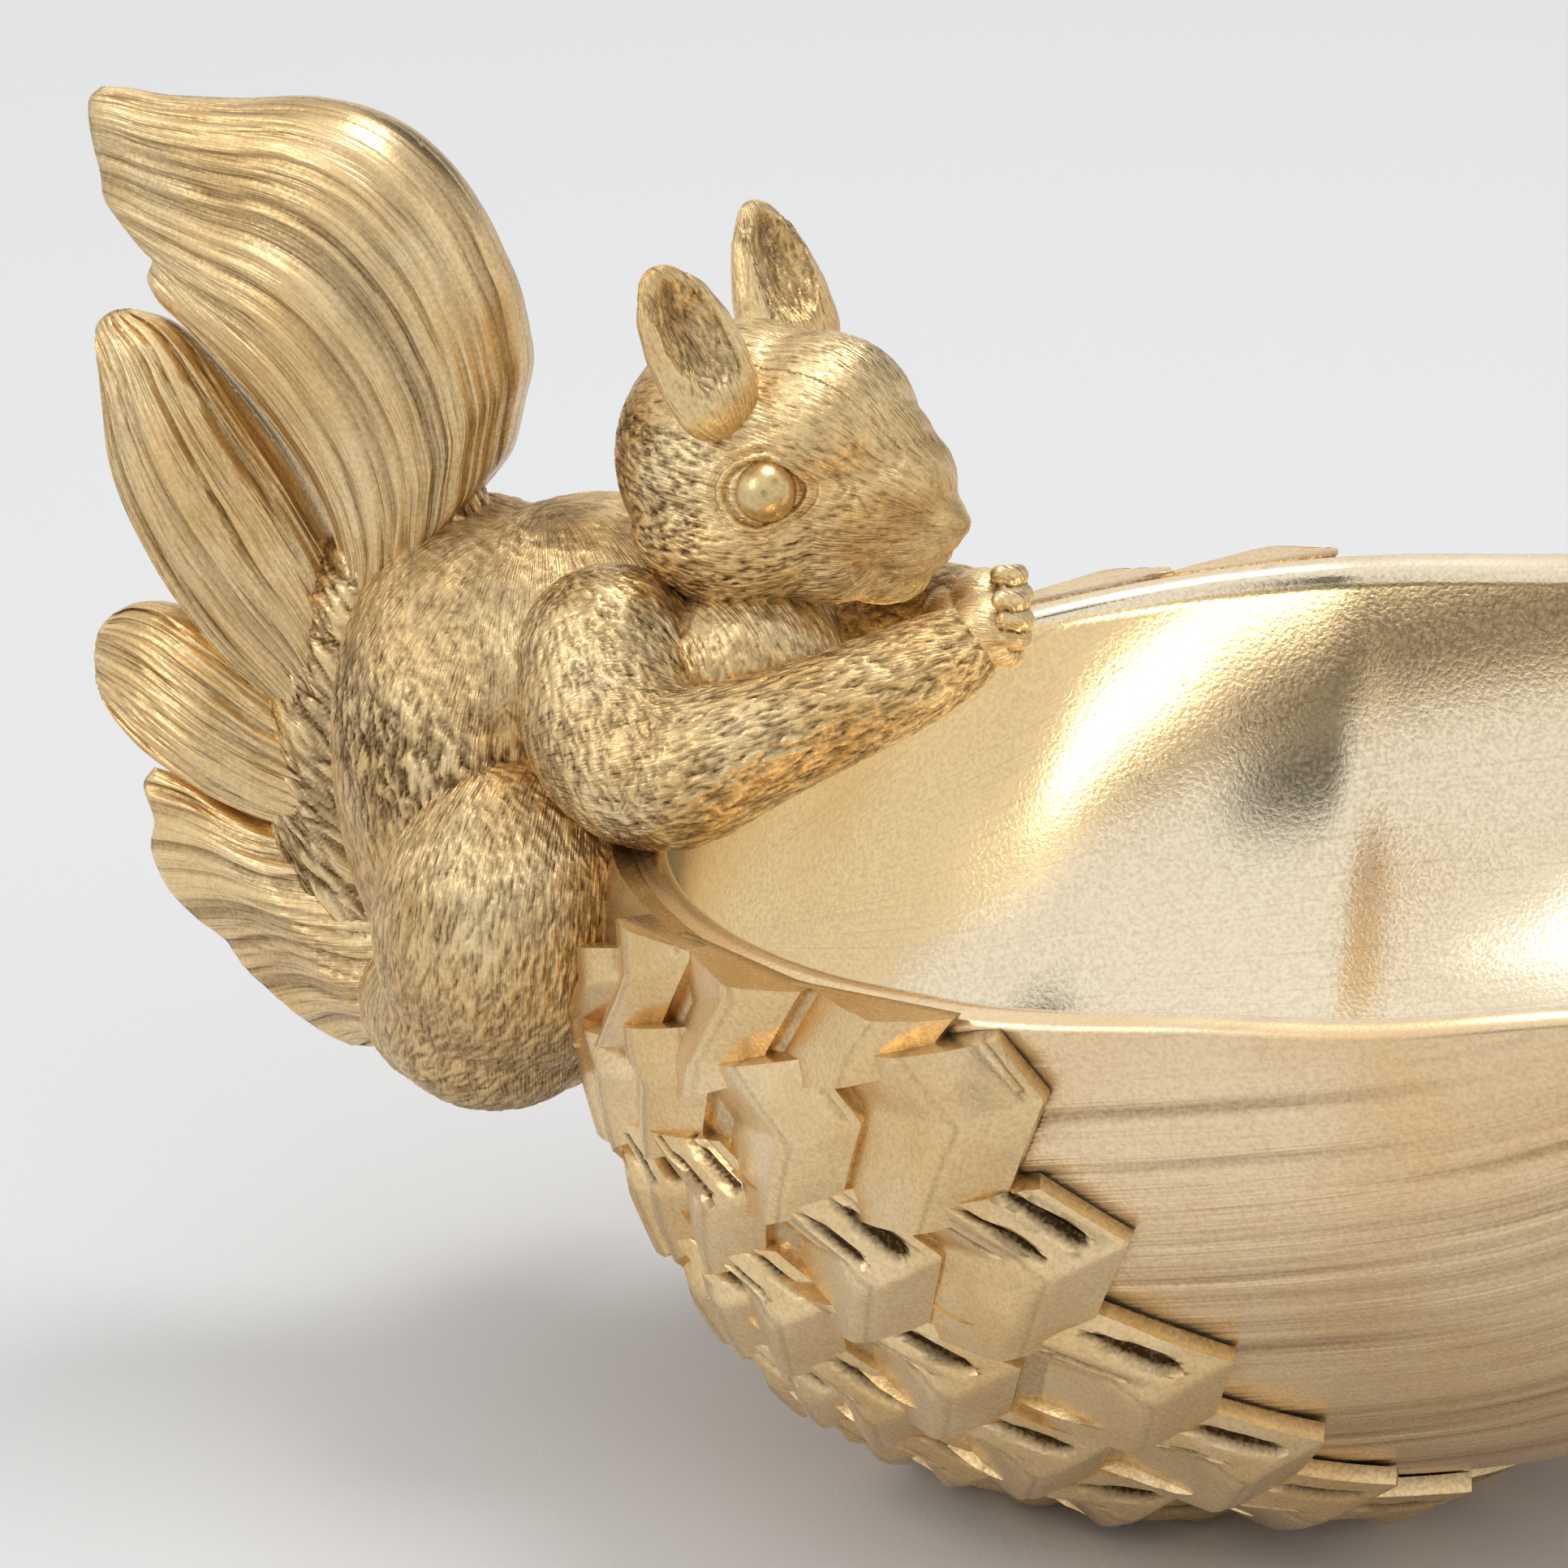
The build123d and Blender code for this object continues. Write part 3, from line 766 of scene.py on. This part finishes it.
def make_head():
    """Skull, cheeks and a wedge of a muzzle, with the lids carved round both eyes."""
    parts = [
        head_ball(-3.5, 0, 1.5, (16.5, 16.0, 16.3)),
        head_ball(5.5, 0, 6.8, (11.8, 12.0, 11.0)),
        head_ball(9.5, 0, -1.5, (11.0, 11.5, 10.5)),
        head_ball(13.0, 0, 5.0, (7.2, 7.2, 6.6)),
        head_ball(15.5, 0, 1.6, (7.5, 7.0, 7.0)),
        head_ball(18.5, 0, -0.2, (4.6, 4.8, 4.2)),
        head_ball(16.0, 0, -4.5, (7.5, 6.6, 6.2)),
        head_ball(20.5, 0, -2.8, (4.2, 4.3, 4.2)),
        head_ball(23.4, 0, -2.6, (2.0, 2.3, 1.9)),
        head_ball(13.5, 0, -9.8, (6.5, 5.4, 4.2)),
    ]
    for side in (-1, 1):
        parts.append(head_ball(-2.0, side * 8.5, -5.5, (12.5, 8.8, 8.8)))
        parts.append(head_ball(7.0, side * 4.2, -7.5, (9.5, 7.2, 6.2)))
        parts.append(head_ball(17.5, side * 2.6, -6.5, (4.2, 3.0, 3.2)))
    piece = cast_fine(parts, voxel=0.62, smooth=9)
    nose = np.array(head_to_part(25, 0, -3))

    def depth(p):
        far = np.linalg.norm(p - nose)
        return min(1.0, 0.25 + far / 42) * (0.55 if p[2] > HEAD_MIDDLE[2] + 8 else 1.0)

    cut = comb(
        piece, lambda p: p - nose, gap=0.85, length=2.4, width=0.30, depth=0.30, seed=21, where=depth,
    )
    points = points_of(piece)
    normals = normals_of(piece)
    for side in (-1, 1):
        points, cut = carve_lids(points, normals, cut, side)
    slit = mouth_slit(points)
    set_points(piece, points - normals * (0.7 * slit)[:, None])
    # painted shade: the slit of the mouth is marked as a cut
    mark(piece, np.maximum(cut, 0.8 * slit))
    lay_along(piece, head_to_part(24, 0, -3), head_to_part(-18, 0, 0), 15)
    return piece


def make_ear(side):
    """A pointed ear: a thick cup with a round rim, its inside hatched."""
    base, tip, front, width, shape = EARS[side]
    base, tip, front = np.array(base), np.array(tip), np.array(front)
    way = (tip - base) / np.linalg.norm(tip - base)
    front = front - way * (front @ way)
    front /= np.linalg.norm(front)
    across = np.cross(way, front)
    length = np.linalg.norm(tip - base)
    knots = np.linspace(0, 1, len(shape))
    parts = []
    for share in np.linspace(0, 1, 13):
        spot = base + way * share * (length - 0.85 * width * shape[-1])
        parts.append(ball(spot, width * np.interp(share, knots, shape)))
    piece = cast(parts, voxel=0.42, smooth=4)
    offset = points_of(piece) - base
    up = offset @ way / length
    aside = offset @ across
    out = offset @ front
    half = width * np.interp(up, knots, shape)
    # flatten, then curl the rim forward and hollow the front
    out = out * 0.50 + 0.9 * np.clip(np.abs(aside) / half, 0, 1.1) ** 2 + 0.8
    share = np.clip(np.hypot(aside / (0.70 * half), (up - 0.48) / 0.46), 0, 1.3)
    cup = np.clip(1 - share ** 2.2, 0, 1) * (out > 0.4)
    moved = base + way * (up * length)[:, None] + across * aside[:, None]
    set_points(piece, moved + front * (out - 2.5 * cup)[:, None])
    apply_modifier(piece, "SMOOTH", factor=0.5, iterations=2)
    refine(piece)

    def inside(p):
        offset = np.asarray(p) - base
        high = offset @ way / length
        wide = abs(offset @ across) / (0.62 * width)
        return 1.0 if 0.05 < high < 0.85 and wide < 1 and offset @ front > -1.5 else 0.12

    cut = 0.7 * comb(
        piece, lambda p: way, gap=0.70, length=3.4, width=0.30, depth=0.4, seed=41 + side, where=inside,
    )
    mark(piece, cut)
    lay_along(piece, base, tip, 5)
    return piece


def make_arm(side):
    """Shoulder, elbow and forearm in one sweep."""
    line = ARMS[side]
    piece = cast_fine(limb(line), voxel=0.66, smooth=8)

    def flow(p):
        return (1.0, 0.35 * -side, 0.45) if p[0] > -60 else (0.5, 0.0, -0.9)

    cut = comb(
        piece, flow, gap=0.95, length=3.0, width=0.34, depth=0.40, seed=31 + side, where=lambda p: 0.8,
    )
    mark(piece, cut)
    lay_along(piece, line[1][:3], line[-1][:3], 9)
    return piece


def make_paw(side):
    """A closed hand: a smooth ball of a palm with four small knuckles stacked before it."""
    palm = np.array(PALMS[side])
    parts = [ball(palm, PALM_RADIUS), ball(palm + (-3.0, -0.5, -1.5), 4.2)]
    for index in range(4):
        up = 4.6 - 2.3 * index
        ahead = 2.6 + 1.6 * math.sin(math.pi * (index + 0.8) / 4)
        parts += limb([
            (palm[0] + ahead - 0.8, palm[1] - 2.4, palm[2] + up + 0.4, 1.15),
            (palm[0] + ahead + 0.4, palm[1] - 1.2, palm[2] + up, 1.35),
            (palm[0] + ahead + 0.6, palm[1] + 0.4, palm[2] + up - 0.4, 1.35),
            (palm[0] + ahead - 0.4, palm[1] + 1.8, palm[2] + up - 0.9, 1.15),
        ], spacing=0.35)
    piece = cast_fine(parts, voxel=0.32, smooth=2)
    # painted shade: the hollows between the knuckles, found by their curvature, are marked as cuts
    mark(piece, np.clip(-curvature(piece) * 1.3 - 0.15, 0, 0.7))
    lay_along(piece, palm - (6, 0, 0), palm + (6, 0, 0), 4)
    return piece


# Tail locks: the front edge, the back edge and the frayed end of each, as x and z in mm,
# then the half thickness at the root, the middle and the end
TAIL_LOCKS = {
    "tail_upper_lock": (
        [(-99.5, 100.2), (-96.3, 110.3), (-92.7, 115.3), (-91.1, 121.6), (-90.0, 126.7),
         (-90.5, 130.8), (-91.8, 136.2), (-93.8, 140.5), (-96.2, 145.1), (-100.0, 150.2),
         (-105.0, 154.3), (-110.1, 156.4), (-115.2, 157.2), (-119.3, 157.2), (-125.5, 156.4),
         (-131.2, 156.1), (-135.8, 156.0), (-140.0, 156.4), (-143.6, 156.3)],
        [(-113.3, 82.0), (-112.5, 92.5), (-113.5, 101.7), (-116.5, 109.7), (-121.6, 116.9),
         (-127.2, 122.4), (-132.3, 126.5), (-136.9, 129.9)],
        [(-143.6, 156.3), (-145.2, 154.6), (-145.3, 151.7), (-144.8, 148.7), (-144.0, 145.3),
         (-143.6, 142.2), (-141.8, 139.7), (-139.6, 137.2), (-137.6, 135.4), (-138.3, 132.6),
         (-136.9, 129.9)],
        (8.0, 12.5, 1.2),
    ),
    "tail_middle_lock": (
        [(-111.1, 88.5), (-113.5, 98.6), (-117.6, 106.5), (-122.6, 114.2), (-129.3, 122.2),
         (-134.9, 127.3), (-140.6, 128.8)],
        [(-112.4, 71.7), (-119.6, 79.2), (-127.9, 85.6), (-133.5, 91.8), (-137.1, 97.1),
         (-140.6, 103.0), (-143.1, 109.5), (-144.0, 116.1), (-144.6, 122.2)],
        [(-140.6, 128.8), (-142.9, 128.2), (-144.8, 126.5), (-145.1, 124.7), (-144.6, 122.2)],
        (9.0, 9.5, 1.2),
    ),
    "tail_lower_lock": (
        [(-108.3, 76.8), (-120.6, 82.8), (-128.9, 88.1), (-135.6, 91.2), (-140.4, 91.2), (-143.6, 89.6)],
        [(-108.5, 64.3), (-119.8, 65.5), (-127.2, 67.3), (-133.4, 69.8), (-138.7, 72.3),
         (-142.3, 75.1), (-144.4, 77.5)],
        [(-143.6, 89.6), (-145.5, 87.3), (-146.0, 84.6), (-145.9, 82.0), (-145.3, 79.4), (-144.4, 77.5)],
        (9.0, 9.8, 2.2),
    ),
    "tail_base_lock": (
        [(-106.4, 66.5), (-119.8, 65.9), (-127.2, 66.8), (-133.5, 69.0), (-138.7, 70.2)],
        [(-96.0, 38.2), (-100.2, 38.0), (-103.4, 37.2), (-106.6, 36.9)],
        [(-138.7, 70.2), (-140.2, 67.6), (-138.9, 63.3), (-139.4, 59.5), (-137.5, 55.0),
         (-134.3, 51.6), (-130.1, 48.9), (-127.0, 45.0), (-122.9, 41.8), (-118.7, 38.9),
         (-113.9, 37.0), (-109.7, 37.2), (-106.6, 36.9)],
        (9.0, 10.5, 1.6),
    ),
}


# Strands of a lock in layers: strength, number across it, changes along it and slant; then the
# depth in mm
STRAND_LAYERS = [(0.40, 19, 1.6, 9), (0.52, 44, 2.6, 17), (0.42, 88, 5, 30)]
STRAND_DEPTH = 1.15


def make_lock(name, seed):
    """A lock of the tail: a lens-shaped sheaf whose strands run from its root to its frayed end."""
    front, back, end, thickness = TAIL_LOCKS[name]
    columns, rows = 220, 170
    piece, column, row = net(name, columns, rows)
    along = row / rows
    turn = 2 * math.pi * column / columns
    across = 0.5 - 0.5 * np.cos(turn)
    front_line = curve_through(front, along)
    back_line = curve_through(back, along)
    end_line = curve_through(end, across)
    plain_end = np.array(front[-1]) * (1 - across[:, None]) + np.array(back[-1]) * across[:, None]
    pull = (along ** 5)[:, None]
    outline = front_line * (1 - across[:, None]) + back_line * across[:, None]
    outline += pull * (end_line - plain_end)
    root, middle, tip = thickness
    bulge = root + (middle - root) * np.sin(math.pi / 2 * np.clip(along / 0.55, 0, 1))
    thinned = middle + (tip - middle) * np.clip((along - 0.55) / 0.45, 0, 1) ** 1.5
    bulge = np.where(along > 0.55, thinned, bulge)
    side = np.sin(turn)
    closing = np.clip((1 - along) / 0.02, 0, 1) ** 0.5 * np.clip(along / 0.02, 0, 1) ** 0.5
    y = np.sign(side) * np.abs(side) ** 0.85 * bulge * closing
    points = np.stack([outline[:, 0], y, outline[:, 1]], axis=-1)
    half = np.where(side >= 0, 0.0, 50.0)
    strand = across + 0.035 * lattice_noise(along * 3 + 7, across * 6 + half, seed)
    ridge = sum(
        strength * lattice_noise(strand * number + half, along * change + strand * slant, seed + layer)
        for layer, (strength, number, change, slant) in enumerate(STRAND_LAYERS, start=1)
    )
    cut = np.clip(0.35 - 0.9 * ridge, 0, 1)
    fade = np.clip(np.abs(side) * 3, 0.25, 1)
    outward = np.stack([np.zeros(len(y)), np.sign(y) + (y == 0), np.zeros(len(y))], axis=-1)
    carved = outward * (STRAND_DEPTH * cut * fade * closing)[:, None]
    set_points(piece, points - carved * np.clip(np.abs(y) / 1.4, 0, 1)[:, None])
    # painted shade: the valleys between the strands are marked as cuts
    mark(piece, cut * 0.55)
    run = np.array(front[0]) - np.array(front[-1])
    spread = np.linalg.norm(front_line - back_line, axis=1)
    lay = [along * np.linalg.norm(run), across * spread.max() + half, along * 0]
    mark(piece, np.stack(lay, axis=-1), "lay")
    weld(piece, 0.01)
    return piece


def make_tail_root():
    """The core of the tail along the back, where all the locks start."""
    line = [
        (-97.0, 0.0, 40.0, 5.0), (-107.0, 0.0, 50.0, 9.0), (-113.0, 0.0, 66.0, 10.0),
        (-113.5, 0.0, 81.0, 10.0), (-109.0, 0.0, 95.0, 9.5), (-102.0, 0.0, 106.0, 7.5),
    ]
    piece = cast_fine(limb(line), voxel=0.8, smooth=4)
    cut = comb(piece, lambda p: (-0.8, 0, 0.6), gap=1.6, length=8.0, width=0.50, depth=0.7, seed=61)
    mark(piece, cut)
    lay_along(piece, (-95, 0, 60), (-130, 0, 85), 12)
    return piece


# Materials

# In mm: the grit of the leaf, and the grain of plain materials, coarser than real so that it shows
GRIT_MM = 0.55
GRAIN_MM = 0.6
LEAF_RELIEF = 0.06
GRAIN_RELIEF = 0.2


def linear(code):
    """sRGB hex to linear colour."""
    values = [int(code[k:k + 2], 16) / 255 for k in (1, 3, 5)]
    return tuple(v / 12.92 if v <= 0.04045 else ((v + 0.055) / 1.055) ** 2.4 for v in values) + (1.0,)


def add(tree, kind, inputs=None, **settings):
    """Add one node with its settings; each input gets a value, or the output that feeds it."""
    node = tree.nodes.new(kind)
    for key, value in settings.items():
        setattr(node, key, value)
    for key, source in (inputs or {}).items():
        if isinstance(source, bpy.types.NodeSocket):
            tree.links.new(source, node.inputs[key])
        else:
            node.inputs[key].default_value = source
    return node


def empty_material(name):
    """A material without nodes, and its tree."""
    material = bpy.data.materials.new(name)
    material.use_nodes = True
    material.node_tree.nodes.clear()
    return material, material.node_tree


def gold_leaf(name, light, mid, deep, rough, line_mm, line_depth, line_brown=0.25, painted_cut_shade=0.8,
              cloud_mm=16.0, within=None):
    """Gold leaf over cast resin: a warm metal, mottled and grainy, with brown painted shade in the cuts.

    Its lines follow the carving; line_mm is their width and length. A piece with a smooth inside
    gives that side's paler colour as within, a painted sheen for the room's reflection there, and
    marks its points with "grain" and "inside". Sockets 6, 7 and 2 of a mix node are its two
    colours and their mixture.
    """
    material, tree = empty_material(name)
    place = add(tree, "ShaderNodeTexCoord").outputs["Object"]
    clouds = add(tree, "ShaderNodeTexNoise", {
        "Vector": place, "Scale": 1 / (cloud_mm * MM), "Detail": 4.0,
    }).outputs["Fac"]
    grit = add(tree, "ShaderNodeTexNoise", {
        "Vector": place, "Scale": 1 / (GRIT_MM * MM), "Detail": 2.0,
    }).outputs["Fac"]
    # hair or wood lines, narrow across the carving and long along it
    lay = add(tree, "ShaderNodeAttribute", attribute_name="lay").outputs["Vector"]
    stretch = add(tree, "ShaderNodeMapping", {
        "Vector": lay, "Scale": (1 / line_mm[1], 1 / line_mm[0], 1),
    })
    lines = add(tree, "ShaderNodeTexNoise", {
        "Vector": stretch.outputs["Vector"], "Scale": 1.0, "Detail": 3.0,
    }).outputs["Fac"]

    # the leaf is mottled, and rougher between its grit
    tone = add(tree, "ShaderNodeMapRange", {"Value": clouds, "From Min": 0.35, "From Max": 0.65})
    colour = add(tree, "ShaderNodeMix", {
        "Factor": tone.outputs["Result"], 6: linear(mid), 7: linear(light),
    }, data_type="RGBA").outputs[2]
    roughness = add(tree, "ShaderNodeMapRange", {
        "Value": grit, "From Min": 0.3, "From Max": 0.7, "To Min": rough + 0.12, "To Max": rough - 0.04,
    }).outputs["Result"]
    line_height = lines
    if within:
        # the inside is smoother and has no lines; its paler colour is a painted sheen for the room's
        # reflection
        inside = add(tree, "ShaderNodeAttribute", attribute_name="inside").outputs["Fac"]
        grain = add(tree, "ShaderNodeAttribute", attribute_name="grain").outputs["Fac"]
        line_height = add(tree, "ShaderNodeMath", {0: lines, 1: grain}, operation="MULTIPLY").outputs[0]
        colour = add(tree, "ShaderNodeMix", {
            "Factor": inside, 6: colour, 7: linear(within),
        }, data_type="RGBA").outputs[2]
        roughness = add(tree, "ShaderNodeMath", {
            0: inside, 1: -0.14, 2: roughness,
        }, operation="MULTIPLY_ADD").outputs[0]

    # brown: specks at the grit and thin lines along the carving, and most of it in the cuts, where it is
    # painted shade
    speck = add(tree, "ShaderNodeMapRange", {
        "Value": grit, "From Min": 0.30, "From Max": 0.62, "To Min": 0.20, "To Max": 0.0,
    })
    line_dark = add(tree, "ShaderNodeMapRange", {
        "Value": lines, "From Min": 0.30, "From Max": 0.46, "To Min": line_brown, "To Max": 0.0,
    })
    # painted shade: the deeper a point is cut, the browner it is painted
    cut = add(tree, "ShaderNodeAttribute", attribute_name="cut").outputs["Fac"]
    shade = add(tree, "ShaderNodeMapRange", {
        "Value": cut, "From Min": 0.12, "From Max": 0.80, "To Max": painted_cut_shade,
    })
    brown = add(tree, "ShaderNodeMath", {
        0: shade.outputs["Result"], 1: line_dark.outputs["Result"],
    }, operation="ADD")
    all_brown = add(tree, "ShaderNodeMath", {
        0: brown.outputs["Value"], 1: speck.outputs["Result"],
    }, operation="ADD", use_clamp=True)
    colour = add(tree, "ShaderNodeMix", {
        "Factor": all_brown.outputs["Value"], 6: colour, 7: linear(deep),
    }, data_type="RGBA").outputs[2]

    leaf_relief = add(tree, "ShaderNodeBump", {
        "Height": grit, "Strength": 0.5, "Distance": LEAF_RELIEF * MM,
    })
    relief = add(tree, "ShaderNodeBump", {
        "Height": line_height, "Normal": leaf_relief.outputs["Normal"],
        "Strength": 1.0, "Distance": line_depth * MM,
    })
    surface = add(tree, "ShaderNodeBsdfPrincipled", {
        "Base Color": colour, "Roughness": roughness, "Normal": relief.outputs["Normal"],
        "Metallic": 0.92,
    })
    add(tree, "ShaderNodeOutputMaterial", {"Surface": surface.outputs["BSDF"]})
    return material


def plain(name, colour, rough, metallic=0.0):
    """One colour with a fine grain: felt, wood, steel or paper."""
    material, tree = empty_material(name)
    place = add(tree, "ShaderNodeTexCoord").outputs["Object"]
    grain = add(tree, "ShaderNodeTexNoise", {
        "Vector": place, "Scale": 1 / (GRAIN_MM * MM), "Detail": 4.0,
    })
    relief = add(tree, "ShaderNodeBump", {
        "Height": grain.outputs["Fac"], "Strength": 0.3, "Distance": GRAIN_RELIEF * MM,
    })
    surface = add(tree, "ShaderNodeBsdfPrincipled", {
        "Base Color": linear(colour), "Roughness": rough, "Metallic": metallic,
        "Normal": relief.outputs["Normal"],
    })
    add(tree, "ShaderNodeOutputMaterial", {"Surface": surface.outputs["BSDF"]})
    return material


# Leaf on carved fur: short lines and painted shade in the strokes make it look soft, without a clear
# mirror
FUR_GOLD = gold_leaf(
    "fur_gold_leaf", light="#F7DCA8", mid="#EBC488", deep="#54360F", rough=0.29,
    line_mm=(0.32, 2.6), line_depth=0.28, line_brown=0.42, painted_cut_shade=0.74,
)
# Leaf on the tail's carved strands: long lines that gleam along the locks
TAIL_GOLD = gold_leaf(
    "tail_gold_leaf", light="#F7DBA8", mid="#EBC68B", deep="#5E3E14", rough=0.26,
    line_mm=(0.38, 12.0), line_depth=0.22, line_brown=0.34,
)
# Leaf on the nut: a satin wood grain outside, and a smoother inside that mirrors the room;
# the inside's paler colour is a painted sheen of that reflection
BOWL_GOLD = gold_leaf(
    "bowl_gold_leaf", light="#F8DFB6", mid="#F0CF9E", deep="#80531E", rough=0.26,
    line_mm=(0.55, 30.0), line_depth=0.16, line_brown=0.12, cloud_mm=24.0, within="#FAEBCC",
)
# Leaf on the scales: plain bright faces, with painted shade that is nearly black in the gouges
CAP_GOLD = gold_leaf(
    "cap_gold_leaf", light="#F4D8A8", mid="#E8C48C", deep="#3A2710", rough=0.24,
    line_mm=(9.0, 9.0), line_depth=0.10, line_brown=0.0, painted_cut_shade=0.92,
)
# Leaf on the smooth eyes: no lines, and a small clear highlight
EYE_GOLD = gold_leaf(
    "eye_gold_leaf", light="#E8CF9C", mid="#DDC088", deep="#6E4A1E", rough=0.26,
    line_mm=(4.0, 4.0), line_depth=0.02, line_brown=0.0,
)
# Pressed felt under the acorn, dark and without any shine
FELT = plain("brown_felt", "#2A2018", 0.95)
# A turned beech dowel and a cut steel pin, both hidden inside the castings
WOOD = plain("beech_dowel", "#B8925C", 0.6)
STEEL = plain("steel_pin", "#8C8C90", 0.35, metallic=1.0)

# The pieces
finish_piece(make_bowl(), "acorn_bowl_shell", BOWL_GOLD, ["acorn_bowl"])
finish_piece(make_cap(), "acorn_cap_scales", CAP_GOLD, ["acorn_cap"], smooth_angle=35)
finish_piece(make_torso(), "torso_fur", FUR_GOLD, ["squirrel_torso"])
finish_piece(make_head(), "head_fur", FUR_GOLD, ["squirrel_head"])
for side, word in ((-1, "right"), (1, "left")):
    finish_piece(make_haunch(side), word + "_haunch", FUR_GOLD, [word + "_hind_leg"])
    finish_piece(make_arm(side), word + "_arm_fur", FUR_GOLD, [word + "_arm"])
    finish_piece(make_paw(side), word + "_paw_fingers", FUR_GOLD, [word + "_paw"])
    finish_piece(make_ear(side), word + "_ear_cup", FUR_GOLD, [word + "_ear"])
    eye = ball(eye_place(side), EYE_RADIUS)
    mark(eye, np.zeros(len(eye.data.vertices)))
    lay_along(eye, eye_place(-1), eye_place(1), 3)
    finish_piece(eye, word + "_eye_ball", EYE_GOLD, [word + "_eye"])
finish_piece(make_tail_root(), "tail_root_fur", TAIL_GOLD, ["tail_root"])
for index, name in enumerate(TAIL_LOCKS):
    lock = make_lock(name, seed=70 + 10 * index)
    finish_piece(lock, name + "_strands", TAIL_GOLD, [name])

for node, material in (
    ("base_pad", FELT), ("neck_dowel", WOOD), ("tail_dowel", WOOD), ("perch_pins", STEEL),
):
    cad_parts[node].data.materials.clear()
    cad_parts[node].data.materials.append(material)

# Floor, light and camera
FLOOR_SIZE = 14.0
# Gaps between the diffusers: the way to each, and the radii where it is darkest and where it ends
DARK_GAPS = [
    ((0.20, -0.95, 0.24), 0.12, 0.26), ((0.26, 0.86, 0.44), 0.30, 0.44), ((0.62, -0.20, 0.76), 0.12, 0.26),
]
LIGHT_AIM = (0, 0, 0.08)
# The camera's aim in m, the way to it, its distance and the width that it sees there, and its
# sensor in mm
TARGET = Vector((-0.057, -0.003, 0.0785))
LOOK = Vector((0.28945, -0.89083, 0.35021))
DISTANCE = 1.3
FIELD = 0.187
SENSOR = 36.0

bpy.ops.object.select_all(action="DESELECT")
bpy.ops.mesh.primitive_plane_add(size=FLOOR_SIZE, location=(0, 0, 0))
floor = bpy.context.object
floor.name = "studio_floor"
# Matt photo paper: pale, so that only a soft shadow shows on it
floor.data.materials.append(plain("matt_floor_paper", "#D9D9D9", 0.9))

world = bpy.data.worlds.new("studio_light")
bpy.context.scene.world = world
world.use_nodes = True
room = world.node_tree
room.nodes.clear()
# pale walls, a little darker low down, with dark gaps between the diffusers
way = add(room, "ShaderNodeTexCoord").outputs["Generated"]
height = add(room, "ShaderNodeSeparateXYZ", {"Vector": way})
wall = add(room, "ShaderNodeMapRange", {
    "Value": height.outputs["Z"], "From Min": -0.1, "From Max": 0.9, "To Min": 0.98, "To Max": 1.08,
})
strength = wall.outputs["Result"]
for spot, inner, outer in DARK_GAPS:
    away = add(room, "ShaderNodeVectorMath", {0: way, 1: spot}, operation="DISTANCE")
    shade = add(room, "ShaderNodeMapRange", {
        "Value": away.outputs["Value"], "From Min": inner, "From Max": outer, "To Min": 0.08,
    })
    strength = add(room, "ShaderNodeMath", {
        0: strength, 1: shade.outputs["Result"],
    }, operation="MULTIPLY").outputs["Value"]
sky = add(room, "ShaderNodeBackground", {"Strength": strength, "Color": linear("#F1F2F3")})
add(room, "ShaderNodeOutputWorld", {"Surface": sky.outputs["Background"]})


def softbox(name, spot, aim, size, power):
    """An area light at a place, in m, that faces a point."""
    data = bpy.data.lights.new(name, "AREA")
    data.shape = "RECTANGLE"
    data.size, data.size_y = size
    data.energy = power
    lamp = bpy.data.objects.new(name, data)
    lamp.location = spot
    lamp.rotation_euler = (Vector(aim) - Vector(spot)).to_track_quat("-Z", "Y").to_euler()
    bpy.context.collection.objects.link(lamp)


softbox("top_softbox", (0.02, 0.24, 1.15), LIGHT_AIM, size=(0.34, 0.50), power=4.0)
softbox("left_softbox", (-0.9, -0.9, 1.0), LIGHT_AIM, size=(0.5, 0.7), power=3.0)

camera_data = bpy.data.cameras.new("camera")
camera_data.sensor_width = SENSOR
camera_data.lens = SENSOR * DISTANCE / FIELD
camera = bpy.data.objects.new("camera", camera_data)
camera.location = TARGET + LOOK * DISTANCE
camera.rotation_euler = (-LOOK).to_track_quat("-Z", "Y").to_euler()
bpy.context.collection.objects.link(camera)
bpy.context.scene.camera = camera
bpy.context.scene.view_settings.view_transform = "Standard"
